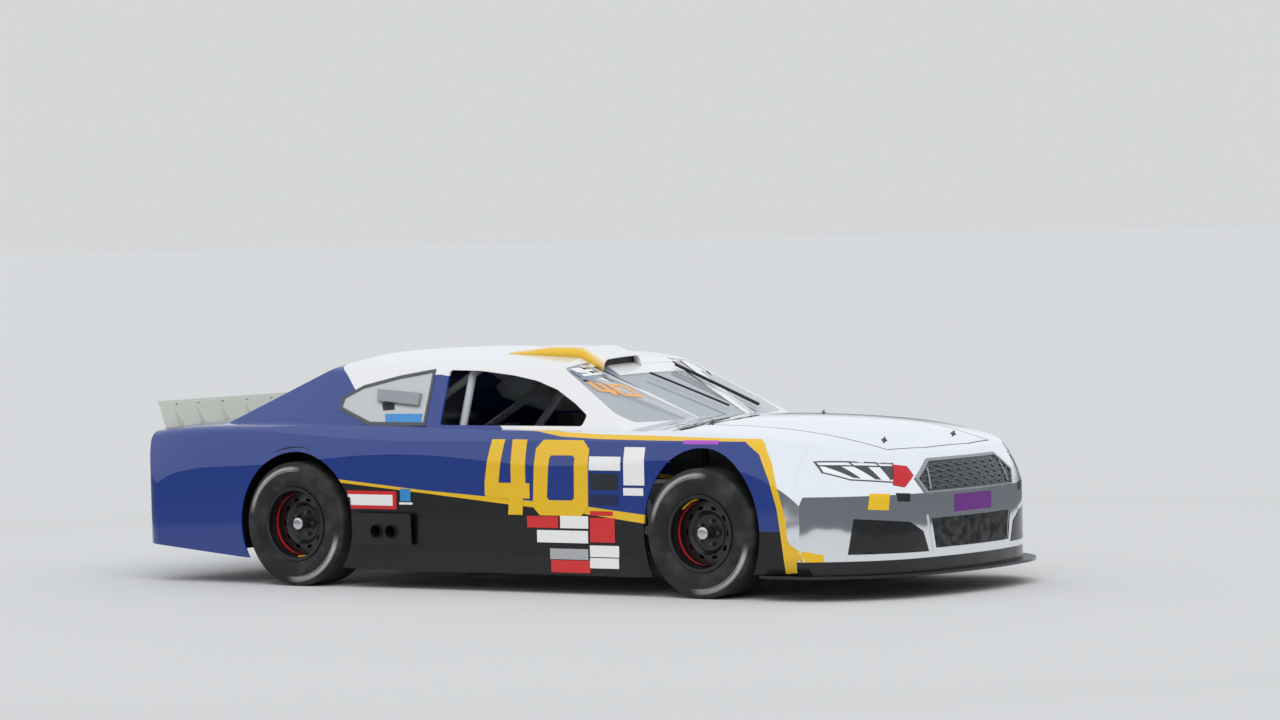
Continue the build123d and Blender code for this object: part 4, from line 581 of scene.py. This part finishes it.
# Tyres: the CAD section with wall ribs and a rounded shoulder, in distances out from the wheel's middle and radius
tyreForm = {
    "radius": 0.343, "bead": (0.1277, 0.204), "wall": (0.145, 0.268), "shoulder": (0.135, 0.326),
    "edge": (0.129, 0.336), "tread": (0.119, 0.341), "ribs": ((0.222, 0.0012), (0.236, 0.0008), (0.312, 0.0010)),
    "ribWide": 0.0022, "steps": (60, 10, 24), "offset": 0.82, "axle": 1.37,
}
corners = [(name, tyreForm["axle"] * (1 if "front" in name else -1), 1 if "left" in name else -1)
           for name in ("front_left", "front_right", "rear_left", "rear_right")]


def tyreProfile(form):
    # arcs from bead to tread; the wall stands out by each rib's height times a bell curve of the radius; an arc over
    # the tread; then the mirror image back to the other bead
    wallSteps, shoulderSteps, treadSteps = form["steps"]
    outer = np.concatenate([arcPoints(form["bead"], form["wall"], form["shoulder"], wallSteps),
                            arcPoints(form["shoulder"], form["edge"], form["tread"], shoulderSteps)[1:]])
    outer[:, 0] += sum(high * np.exp(-((outer[:, 1] - at) / form["ribWide"]) ** 2) for at, high in form["ribs"])
    out, radius = form["tread"]
    crown = arcPoints((out, radius), (0, form["radius"]), (-out, radius), treadSteps)[1:]
    return np.concatenate([outer, crown, (outer * [-1, 1])[-2::-1]])


# silver hub cap, red ring and yellow balance mark inside the barrel, in the same distances
wheelDress = {
    "cap": [(0.100, 0.0345), (0.106, 0.0345), (0.111, 0.033), (0.1135, 0.028), (0.1145, 0.014), (0.1145, 0.0)],
    "capSegments": 48, "ring": [(0.0735, 0.1693), (0.089, 0.1697)], "mark": [(0.092, 0.1760), (0.104, 0.1815)],
    "markTurns": {"front": (0.28, 0.38), "rear": (0.74, 0.85)},
}
for place, x, side in corners:
    body = "wheel_" + place
    centre = (x, side * tyreForm["offset"], tyreForm["radius"])
    addPiece("tyreDressed_" + place, latheMesh("tyre", tyreProfile(tyreForm), centre, side), materials["tyre"], body,
             "tyre_rubber", "tyre_" + place)
    cap = latheMesh("hubCap", wheelDress["cap"], centre, side, segments=wheelDress["capSegments"])
    addPiece("hubCap_" + place, cap, materials["silver"], body, "brake_iron")
    ring = latheMesh("barrelRing", wheelDress["ring"], centre, side)
    addPiece("barrelRing_" + place, ring, materials["red"], body, "wheel_steel")
    turns = wheelDress["markTurns"][place.split("_")[0]]
    mark = latheMesh("barrelMark", wheelDress["mark"], centre, side, turns)
    addPiece("barrelMark_" + place, mark, materials["yellow"], body, "wheel_steel")
print("tyres and wheels done")

# Nose: outlines as y, z points on the left, mirrored for the right
noseForm = {
    "grille": [(0.398, 0.548), (0.436, 0.612), (0.312, 0.694)], "intake": [(0.345, 0.252), (0.376, 0.406)],
    "duct": [(0.432, 0.344), (0.523, 0.396), (0.790, 0.424), (0.812, 0.240), (0.392, 0.236)],
    "lamp": [(0.838, 0.722), (0.763, 0.720), (0.550, 0.700), (0.590, 0.600), (0.777, 0.622), (0.846, 0.662)],
    "pockets": [[(0.826, 0.696), (0.777, 0.693), (0.734, 0.630), (0.762, 0.636)],
                [(0.735, 0.691), (0.681, 0.687), (0.650, 0.619), (0.676, 0.624)],
                [(0.629, 0.683), (0.566, 0.678), (0.584, 0.622), (0.604, 0.614)]],
    "topLine": [(0.842, 0.699), (0.763, 0.696), (0.557, 0.681)],
    "dividers": [[(0.745, 0.719), (0.733, 0.696)], [(0.640, 0.709), (0.628, 0.688)]],
    "strap": [(0.559, 0.690), (0.483, 0.679), (0.463, 0.631), (0.539, 0.576), (0.600, 0.590), (0.578, 0.645)],
    "hole": [(0.600, 0.549), (0.516, 0.543), (0.518, 0.499), (0.590, 0.505)],
    "plate": [(-0.182, 0.430), (0.168, 0.430), (0.168, 0.520), (-0.182, 0.520)],
    "label": [(-0.735, 0.470), (-0.640, 0.462), (-0.632, 0.548), (-0.725, 0.552)],
    "endBar": [(0.372, 0.556), (0.345, 0.668)], "endWide": 0.012, "lineWide": 0.006,
    "grilleRim": (-0.016, -0.0015), "intakeRim": (-0.019, -0.0015),  # outer and inner edge, out from the outline
}
noseSurface = surfaceOf("nose", "headlamps", "grilles")


def bothHalves(points):
    # an outline's left half, and its mirror image back to the start
    return points + [(-y, z) for y, z in reversed(points)]


def widthAt(points, z):
    # half width at height z: the widest crossing of that height by the left half, straight between its points
    spans = []
    for (y0, z0), (y1, z1) in zip(points, points[1:]):
        if min(z0, z1) <= z <= max(z0, z1) and z0 != z1:
            spans.append(y0 + (y1 - y0) * (z - z0) / (z1 - z0))
    return max(spans) if spans else 0.0


def waveBars(outline, spec):
    # rows of flat-topped waves across the opening, as strips: up, across, down, across, each a share of the pitch,
    # and every second row upside down, so that the openings between two rows are cells
    rows = []
    low, high = outline[0][1] + spec["rim"], outline[-1][1] - spec["rim"]
    for row in range(spec["rows"]):
        z = low + (high - low) * (row + 0.5) / spec["rows"]
        half = widthAt(outline, z) - spec["rim"]
        repeats = math.ceil(2 * half / spec["pitch"])
        share, level = np.array(spec["shape"], float).T
        y = -half + spec["pitch"] * np.concatenate([[0], np.cumsum(np.tile(share, repeats))])
        level = np.concatenate([[1], np.tile(level, repeats)]) * (1 if row % 2 else -1)
        count = np.argmax(y >= half) + 1  # up to the first point at the other end
        y = np.minimum(y[:count], half)
        line = np.stack([y, z + level[:count] * spec["rise"]], axis=-1)
        rows += lineQuads(line[np.diff(y, prepend=-1) > spec["shortest"]], spec["bar"])
    return rows


waves = {"rows": 5, "rim": 0.006, "rise": 0.0045, "pitch": 0.085, "bar": 0.0085, "shortest": 0.004,
         "shape": ((0.30, 1), (0.20, -1), (0.30, -1), (0.20, 1))}  # share of the pitch, and the level it leads to
grilleOutline = bothHalves(noseForm["grille"])
mirrored = {key: [(-y, z) for y, z in noseForm[key]] for key in ("duct", "hole", "strap")}
endBars = [quad for side in (1, -1)
           for quad in lineQuads([(side * y, z) for y, z in noseForm["endBar"]], noseForm["endWide"])]
intakeOutline = bothHalves(noseForm["intake"])
trim = {  # outlines, material, slot, lift off the surface, walled
    "ducts": ([noseForm["duct"], mirrored["duct"]], "blackGloss", "black_trim", 0.0015, False),
    "grilleFrame": (ringQuads(grilleOutline, *noseForm["grilleRim"]), "bezelMetal", "black_trim", 0.010, True),
    "grilleBack": ([grilleOutline], "blackGloss", "black_trim", 0.0012, False),
    "grilleWaves": (waveBars(noseForm["grille"], waves), "darkMetal", "black_trim", 0.006, True),
    "grilleEnds": (endBars, "bezelMetal", "black_trim", 0.008, True),
    "intakeFrame": (ringQuads(intakeOutline, *noseForm["intakeRim"]), "chrome", "chrome_wrap", 0.008, True),
    # black sheets over the two holes in the nose: painted shade standing in for the dark openings
    "noseHoleShade": ([noseForm["hole"], mirrored["hole"]], "blackTrim", "black_trim", 0.0012, False),
    "towStrap": ([mirrored["strap"]], "redWebbing", "webbing", 0.007, True),
    "nosePlate": ([noseForm["plate"]], "purple", "chrome_wrap", 0.0015, False),
    "noseLabel": ([noseForm["label"]], "yellow", "chrome_wrap", 0.0008, False),
}
for side, name in ((1, "Left"), (-1, "Right")):
    lamp, *pockets = [[(side * y, z) for y, z in points] for points in [noseForm["lamp"]] + noseForm["pockets"]]
    thin = [quad for points in [noseForm["topLine"]] + noseForm["dividers"]
            for quad in lineQuads([(side * y, z) for y, z in points], noseForm["lineWide"])]
    trim["lampRim" + name] = (ringQuads(lamp, 0.0, noseForm["lineWide"]), "lampDark", "lamp_cover", 0.0022, False)
    trim["lampPockets" + name] = (pockets, "lampDark", "lamp_cover", 0.0014, False)
    trim["lampLines" + name] = (thin, "lampDark", "lamp_cover", 0.0018, False)
for name, (outlines, finish, slotName, lift, walled) in trim.items():
    mesh = drapedMesh(name, outlines, "front", noseSurface, lift, walled)
    addPiece(name, mesh, materials[finish], "chassis", slotName)
print("nose trim done")

# Race number as block digits, x and z in metres on the right side; the left side shows it the right way round too
digitForm = {
    "4": [[(-0.010, 0.820), (0.078, 0.820), (0.045, 0.590), (-0.050, 0.590)],
          [(-0.050, 0.590), (0.252, 0.590), (0.252, 0.508), (-0.036, 0.508), (-0.050, 0.525)],
          [(0.128, 0.820), (0.226, 0.820), (0.226, 0.590), (0.128, 0.590)],
          [(0.112, 0.508), (0.208, 0.508), (0.202, 0.420), (0.105, 0.420)]],
    "zeroOuter": [(0.335, 0.820), (0.600, 0.820), (0.645, 0.775), (0.640, 0.465), (0.592, 0.420), (0.318, 0.420),
                  (0.272, 0.465), (0.290, 0.775)],
    "zeroInner": [(0.398, 0.740), (0.538, 0.740), (0.552, 0.726), (0.548, 0.516), (0.534, 0.502), (0.382, 0.502),
                  (0.368, 0.516), (0.384, 0.726)],
    "middle": 0.30, "corner": (-0.05, 0.82), "lift": 0.002, "step": 0.014,
}
rim = list(zip(digitForm["zeroOuter"], digitForm["zeroInner"]))
digits = digitForm["4"] + [[a[0], b[0], b[1], a[1]] for a, b in zip(rim, rim[1:] + rim[:1])]
blankForm = {
    "lift": 0.0018, "stagger": 0.0003,  # stickers that overlap lie at three heights
    "boxes": [  # colour, x and z of two opposite corners
        ("white", 0.649, 0.664, 0.857, 0.737), ("dark", 0.657, 0.563, 0.835, 0.647),
        ("navy", 0.641, 0.478, 0.838, 0.535), ("red", 0.650, 0.424, 0.800, 0.448),
        ("white", 0.876, 0.588, 1.012, 0.788), ("white", 0.873, 0.534, 1.004, 0.574),
        ("red", 0.231, 0.354, 0.439, 0.416), ("white", 0.452, 0.354, 0.638, 0.420),
        ("red", 0.649, 0.283, 0.813, 0.413), ("dark", 0.660, 0.296, 0.802, 0.400),
        ("white", 0.296, 0.276, 0.635, 0.342), ("grey", 0.381, 0.188, 0.634, 0.245),
        ("white", 0.645, 0.205, 0.837, 0.266), ("red", 0.386, 0.118, 0.645, 0.184),
        ("white", 0.645, 0.145, 0.835, 0.200), ("red", -1.038, 0.434, -0.660, 0.533),
        ("white", -1.012, 0.454, -0.686, 0.513), ("sky", -0.632, 0.480, -0.560, 0.547),
        ("white", -0.640, 0.462, -0.548, 0.474), ("magenta", 1.251, 0.806, 1.470, 0.826)],
}
footForm = {"lift": 0.0014, "outline": [(1.900, 0.345), (1.925, 0.300), (1.965, 0.272), (2.10, 0.240), (2.10, 0.205),
                                        (1.99, 0.205), (1.99, 0.15), (1.92, 0.15)]}
sheetsOf = {}
for order, (colour, *opposite) in enumerate(blankForm["boxes"]):
    lift = blankForm["lift"] + blankForm["stagger"] * (order % 3)
    sheetsOf.setdefault(colour, []).append((lift, rectangle(*opposite)))
for sideName in ("right", "left"):
    frontSurface = surfaceOf("fender_" + sideName, "nose")
    foot = drapedMesh("stripeFoot", [footForm["outline"]], sideName, frontSurface, footForm["lift"])
    addPiece("stripeFoot_" + sideName, foot, materials["yellow"], "chassis", "body_paint")
    sideSurface = surfaceOf("door_" + sideName, "fender_" + sideName, "quarter_" + sideName, "side_skirts")
    shown = [[(2 * digitForm["middle"] - x, z) for x, z in points] for points in digits]
    number = drapedMesh("raceNumber", digits if sideName == "right" else shown, sideName, sideSurface,
                        digitForm["lift"], step=digitForm["step"])
    addPiece("raceNumber_" + sideName, number, materials["yellow"], "chassis", "body_paint")
    for colour, sheets in sheetsOf.items():
        meshes = [drapedMesh("blank", [points], sideName, sideSurface, lift) for lift, points in sheets]
        addPiece(f"blank_{colour}_{sideName}", joinedMesh("blank", meshes), materials[colour], "chassis",
                 "body_paint")
print("number and blank stickers done")

# Windows: outlines as in the CAD, x and z at the side, y and z ahead
windowForm = {
    "step": 0.03,
    "quarter": [(-1.205, 0.968), (-1.212, 1.030), (-1.100, 1.088), (-0.870, 1.140), (-0.640, 1.176), (-0.560, 0.888),
                (-0.950, 0.888)],
    "deflector": [(-0.975, 1.065), (-0.660, 1.045), (-0.645, 0.982), (-0.940, 1.004)],
    "deflectorHole": [(-0.921, 1.000), (-0.831, 1.000), (-0.813, 0.966), (-0.891, 0.961)],
    "sticker": [(-0.869, 0.944), (-0.605, 0.946), (-0.590, 0.900), (-0.839, 0.897)],
    "rim": (-0.006, 0.012),
    # half width, height of the ends and rise of each line at the head; the strip is tinted from one of its steps on
    "headArc": (0.554, 1.190, 0.034), "headLow": (0.568, 1.184, 0.004), "stripLow": (0.605, 1.122, 0.020),
    "steps": 15, "tinted": 11,
    "number": (-0.585, 0.3166, 1.118, -0.132, 0.1725),  # left end, share of width, top, fall along it, share of tall
    "lines": [[(-0.535, 1.163), (-0.410, 1.166), (-0.410, 1.176), (-0.532, 1.173)],
              [(-0.530, 1.142), (-0.385, 1.147), (-0.385, 1.157), (-0.528, 1.152)]],
}


def headLine(half, z, rise):
    # points of a bowed line from the left end to the right: z, plus rise times one minus the square of y over half
    y = np.linspace(half, -half, windowForm["steps"] + 1)
    return [(a, z + rise * (1 - (a / half) ** 2)) for a in y]


def bandQuads(high, low, first, last):
    # quads between two lines of points, from the first step along them to the last
    return [high[k:k + 2] + low[k:k + 2][::-1] for k in range(first, last)]


screenSurface = surfaceOf("windshield")
headArc, headLow, stripLow = (headLine(*windowForm[key]) for key in ("headArc", "headLow", "stripLow"))
steps, tinted = windowForm["steps"], windowForm["tinted"]
left, wide, high, fall, tall = windowForm["number"]
first, top = digitForm["corner"]
small = [[(left + wide * (p - first), high + fall * wide * (p - first) - tall * (top - q)) for p, q in points]
         for points in digits]
screenTrim = {  # outlines, material, lift off the glass
    "screenHead": (bandQuads(headArc, headLow, 0, steps), "white", 0.0016),
    "sunStripTint": (bandQuads(headLow, stripLow, tinted, steps), "stripTint", 0.0008),
    "sunStripWhite": (bandQuads(headLow, stripLow, 0, tinted), "white", 0.0008),
    "screenNumber": (small, "amber", 0.0012),
    "stripBlanks": (windowForm["lines"], "white", 0.0016),
}
for name, (outlines, finish, lift) in screenTrim.items():
    mesh = drapedMesh(name, outlines, "front", screenSurface, lift, step=windowForm["step"])
    addPiece(name, mesh, materials[finish], "chassis", "polycarbonate")
quarterTrim = {  # outlines, material, lift off the pane, walled
    "quarterFrame": (ringQuads(windowForm["quarter"], *windowForm["rim"]), "darkMetal", 0.003, True),
    "quarterDeflector": ([windowForm["deflector"]], "bezelMetal", 0.022, True),
    # black sheet on the pane at the vent under the deflector: painted shade standing in for the dark opening
    "quarterHoleShade": ([windowForm["deflectorHole"]], "blackTrim", 0.0012, False),
    "quarterSticker": ([windowForm["sticker"]], "sky", 0.0012, False),
}
paneSurface = surfaceOf("roof_shell", "quarter_windows")
for sideName in ("right", "left"):
    for name, (outlines, finish, lift, walled) in quarterTrim.items():
        mesh = drapedMesh(name, outlines, sideName, paneSurface, lift, walled, windowForm["step"])
        addPiece(f"{name}_{sideName}", mesh, materials[finish], "chassis", "polycarbonate")
print("window trim done")

# Wiper arms and blade up the screen: y, z at the foot and the tip, then radius and distance off the glass
wiperForm = {
    "steps": 12,
    "arms": [(0.40, 0.925, 0.235, 1.150, 0.009, 0.03), (0.435, 0.930, 0.268, 1.155, 0.006, 0.022),
             (0.10, 0.935, -0.10, 1.120, 0.006, 0.028)],
}


def onScreen(y, z, lift):
    # where the line straight back from the front meets the glass, moved off it along its normal
    place, normal, index, distance = screenSurface.ray_cast(Vector((drape["ahead"], y, z)), Vector((-1, 0, 0)))
    return place + (normal if normal.x > 0 else -normal) * lift


wiper = []
for y0, z0, y1, z1, radius, lift in wiperForm["arms"]:
    shares = np.linspace(0, 1, wiperForm["steps"] + 1)
    line = [onScreen(y0 + (y1 - y0) * share, z0 + (z1 - z0) * share, lift) for share in shares]
    wiper.append(tubeMesh("wiper", line, radius))
addPiece("wiper", joinedMesh("wiper", wiper), materials["blackTrim"], "chassis", "black_trim")

# Roof scoop on the right, open at its front: a hat-shaped rise over the roof
scoopForm = {
    "back": -0.32, "front": 0.325, "near": -0.352, "far": -0.010, "side": 0.045, "high": 0.046, "sink": 0.004,
    "growth": [(-0.32, 0.0), (-0.22, 0.25), (-0.06, 0.80), (0.08, 1.0), (0.20, 1.12), (0.325, 1.3)],
    "top": 1.288, "grid": (48, 40), "wall": 0.004, "mouthRow": -4, "mouthGap": 0.002,
}
roofSurface = surfaceOf("roof_shell", "windshield")


def roofHeight(x, y):
    # where the line straight down from above meets the roof or the screen
    place = roofSurface.ray_cast(Vector((x, y, drape["above"])), Vector((0, 0, -1)))[0]
    return place.z


def scoopGrid(form):
    # roof height plus rise(x) times a flat-topped hat(y), whose sides fall by a quarter circle, under the top height
    x = np.linspace(form["back"], form["front"], form["grid"][0])
    y = np.linspace(form["near"], form["far"], form["grid"][1])
    edge = np.clip(np.minimum(y - form["near"], form["far"] - y) / form["side"], 0, 1)
    hat = np.sqrt(1 - (1 - edge) ** 2)
    rise = np.interp(x, *np.array(form["growth"]).T) * form["high"]
    roof = np.array([[roofHeight(a, b) for b in y] for a in x])
    z = np.minimum(roof - form["sink"] * (hat < 0.01) + np.outer(rise, hat), form["top"])
    return np.stack([np.broadcast_to(x[:, None], z.shape), np.broadcast_to(y, z.shape), z], axis=-1), roof


shell, roof = scoopGrid(scoopForm)
scoop = gridMesh("scoop", shell[::-1])
wall = addPiece("roofScoop", scoop, materials["scoop"], "chassis", "body_paint").modifiers.new("wall", "SOLIDIFY")
wall.thickness, wall.offset = scoopForm["wall"], -1
# a black sheet across the scoop a few rows behind its open front: painted shade standing in for the dark inside of the
# opening
mouthTop = shell[scoopForm["mouthRow"]] - np.array([0, 0, scoopForm["mouthGap"]])
mouthLow = np.concatenate([mouthTop[:, :2], roof[scoopForm["mouthRow"]][:, None] - scoopForm["sink"]], axis=1)
addPiece("scoopMouthShade", gridMesh("scoopMouthShade", np.stack([mouthLow, mouthTop])), materials["blackTrim"], "chassis",
         "black_trim")

# Tubs over the rear wheels, so the arches are closed inside: points of distance out and radius, swept by an angle,
# so that x and z are the centre's plus the radius times its cosine and sine
tubForm = {"profile": [(0.925, 0.425), (0.60, 0.425), (0.60, 0.27)], "from": -20, "to": 200, "steps": 60,
           "centre": (-1.37, 0.343), "wall": 0.002}
sweep = np.radians(np.linspace(tubForm["from"], tubForm["to"], tubForm["steps"]))
for side, sideName in ((1, "left"), (-1, "right")):
    rows = [np.stack([tubForm["centre"][0] + radius * np.cos(sweep), np.full(len(sweep), side * out),
                      tubForm["centre"][1] + radius * np.sin(sweep)], axis=-1) for out, radius in tubForm["profile"]]
    tub = addPiece("wheelTub_" + sideName, gridMesh("tub", np.stack(rows), smooth=False), materials["blackTrim"],
                   "chassis", "black_trim")
    tub.modifiers.new("wall", "SOLIDIFY").thickness = tubForm["wall"]
print("screen, wiper and scoop done")

# Bolts through the spoiler's foot and blade, and the pins in the hood
boltForm = {"radius": 0.009, "high": 0.006, "tilt": 0.002, "shift": (0.004, 0.018), "sides": 12,
            "rows": ((-2.4795, 0.878), (-2.5245, 0.985)), "ys": (-0.62, -0.43, -0.215, 0, 0.215, 0.43, 0.62)}
bolts = []
for x, z in boltForm["rows"]:
    for y in boltForm["ys"]:
        foot = np.array([x + boltForm["shift"][0], y + boltForm["shift"][1], z])
        bolts.append(tubeMesh("bolt", [foot, foot + np.array([boltForm["high"], 0, boltForm["tilt"]])],
                              boltForm["radius"], boltForm["sides"]))
addPiece("spoilerBolts", joinedMesh("bolts", bolts), materials["silver"], "deck_lid", "polycarbonate")
pinForm = {"places": ((2.12, -0.33), (2.12, 0.33), (1.16, -0.52), (1.16, 0.52)),
           "plate": (0.004, 0.016, 20), "stem": (0.016, 0.006, 12)}  # height, radius, sides
hoodSurface = surfaceOf("hood")
pins = []
for x, y in pinForm["places"]:
    place, normal, index, distance = hoodSurface.ray_cast(Vector((x, y, drape["above"])), Vector((0, 0, -1)))
    for high, radius, sides in (pinForm["plate"], pinForm["stem"]):
        pins.append(tubeMesh("pin", [place, place + normal * high], radius, sides))
addPiece("hoodPins", joinedMesh("pins", pins), materials["castIron"], "hood", "chrome_wrap")
print("small fasteners done")


cameraSpec = {"yaw": 36.72, "elevation": 3.20, "distance": 30.247, "focal": 5505.0, "roll": 1.34,
              "centre": (597.2, 489.0), "frame": (1280, 720), "target": (0, 0, 0.5)}


def placeCamera(spec):
    # the photograph's camera, solved from both wheels, roof and nose: it looks back along the direction of its yaw and
    # elevation, is turned about it by the roll, and has its picture's centre as a lens shift
    yaw, lift, roll = (math.radians(spec[key]) for key in ("yaw", "elevation", "roll"))
    back = Vector((math.sin(yaw) * math.cos(lift), -math.cos(yaw) * math.cos(lift), math.sin(lift)))
    right = Vector((math.cos(yaw), math.sin(yaw), 0))
    up = back.cross(right)
    tiltedRight = right * math.cos(roll) - up * math.sin(roll)
    tiltedUp = right * math.sin(roll) + up * math.cos(roll)
    camera = bpy.data.cameras.new("photoCamera")
    width, height = spec["frame"]
    camera.sensor_width = 36
    camera.lens = spec["focal"] / width * camera.sensor_width
    camera.shift_x = (width / 2 - spec["centre"][0]) / width
    camera.shift_y = (spec["centre"][1] - height / 2) / width
    camera.clip_end = 200
    holder = bpy.data.objects.new("photoCamera", camera)
    scene.collection.objects.link(holder)
    turn = Matrix((tiltedRight, tiltedUp, back)).transposed().to_4x4()
    holder.matrix_world = Matrix.Translation(Vector(spec["target"]) + back * spec["distance"]) @ turn
    scene.camera = holder


placeCamera(cameraSpec)

studio = {
    "floorHalf": 150, "floorColour": "#D6D8DA", "backColour": "#D6D8DA", "backStrength": 0.985, "skyStrength": 0.62,
    "glossColour": "#F2F7FD",
    "sun": {"from": (0.55, -0.62, 0.85), "strength": 1.62, "spread": 50},
    # grey band round the studio that only reflections see; each unevenness is a height and how often it comes round
    "band": {"radius": 7.5, "high": 2.3, "steps": 96, "uneven": ((0.25, 5), (0.12, 13)), "colour": "#6A6F75",
             "fade": (0.55, 2.0)},
}


def buildStudio(spec):
    # a flat floor, a low round band whose crest is its height plus two sines of the angle, a dome and one soft sun
    half = spec["floorHalf"]
    corners = np.array([[[half, -half, 0], [half, half, 0]], [[-half, -half, 0], [-half, half, 0]]], float)
    floor = bpy.data.objects.new("floor", gridMesh("floor", corners, smooth=False))
    scene.collection.objects.link(floor)
    # matt painted board: takes a soft shadow and shows no mirror
    material, tree, shader = newMaterial("paleStudioFloor", spec["floorColour"], {
        "Roughness": 0.9, "Specular IOR Level": 0.2})
    floor.data.materials.append(material)
    form = spec["band"]
    angle = np.linspace(0, 2 * np.pi, form["steps"], endpoint=False)
    circle = np.stack([np.cos(angle), np.sin(angle)], axis=-1) * form["radius"]
    crest = form["high"] + sum(height * np.sin(times * angle) for height, times in form["uneven"])
    rows = [np.concatenate([circle, z[:, None]], axis=1) for z in (np.zeros(form["steps"]), crest)]
    band = bpy.data.objects.new("reflectionBand", gridMesh("reflectionBand", np.stack(rows), wrapV=True))
    scene.collection.objects.link(band)
    # grey flannel, fading upwards into the pale surround: a soft dark edge in the chrome film
    material, tree, shader = newMaterial("greyFlannel", "#000000", {"Roughness": 1.0, "Emission Strength": 1.0})
    axes = addNode(tree, "ShaderNodeSeparateXYZ", None, {
        "Vector": addNode(tree, "ShaderNodeTexCoord").outputs["Object"]})
    fade = addNode(tree, "ShaderNodeMapRange", {"interpolation_type": "SMOOTHSTEP"}, {
        "From Min": form["fade"][0], "From Max": form["fade"][1], "Value": axes.outputs["Z"]}).outputs["Result"]
    tree.links.new(layered(tree, form["colour"], ((fade, spec["glossColour"]),)), shader.inputs["Emission Color"])
    band.data.materials.append(material)
    band.visible_camera = band.visible_diffuse = band.visible_shadow = band.visible_transmission = False
    # a soft white dome for the light, and a pale backdrop wherever the camera, metal or glass sees past the floor
    world = bpy.data.worlds.new("softStudio")
    scene.world = world
    world.use_nodes = True
    tree = world.node_tree
    dome = tree.nodes["Background"]
    dome.inputs["Color"].default_value = hexColour("#FFFFFF")
    dome.inputs["Strength"].default_value = spec["skyStrength"]
    backdrop = addNode(tree, "ShaderNodeBackground", None, {
        "Color": hexColour(spec["backColour"]), "Strength": spec["backStrength"]})
    bright = addNode(tree, "ShaderNodeBackground", None, {"Color": hexColour(spec["glossColour"])})
    path = addNode(tree, "ShaderNodeLightPath").outputs
    seen = addNode(tree, "ShaderNodeMath", {"operation": "MAXIMUM"}, {
        0: path["Is Camera Ray"], 1: path["Is Transmission Ray"]})
    blend = addNode(tree, "ShaderNodeMixShader", None, {
        0: seen.outputs[0], 1: dome.outputs[0], 2: backdrop.outputs[0]})
    blend = addNode(tree, "ShaderNodeMixShader", None, {
        0: path["Is Glossy Ray"], 1: blend.outputs[0], 2: bright.outputs[0]})
    tree.links.new(blend.outputs[0], tree.nodes["World Output"].inputs["Surface"])
    lamp = bpy.data.lights.new("softSun", "SUN")
    lamp.energy, lamp.angle = spec["sun"]["strength"], math.radians(spec["sun"]["spread"])
    holder = bpy.data.objects.new("softSun", lamp)
    scene.collection.objects.link(holder)
    holder.rotation_euler = Vector(spec["sun"]["from"]).to_track_quat("Z", "Y").to_euler()
    holder.visible_glossy = False


buildStudio(studio)
scene.view_settings.view_transform = "Standard"
print("camera, floor and lights ready")
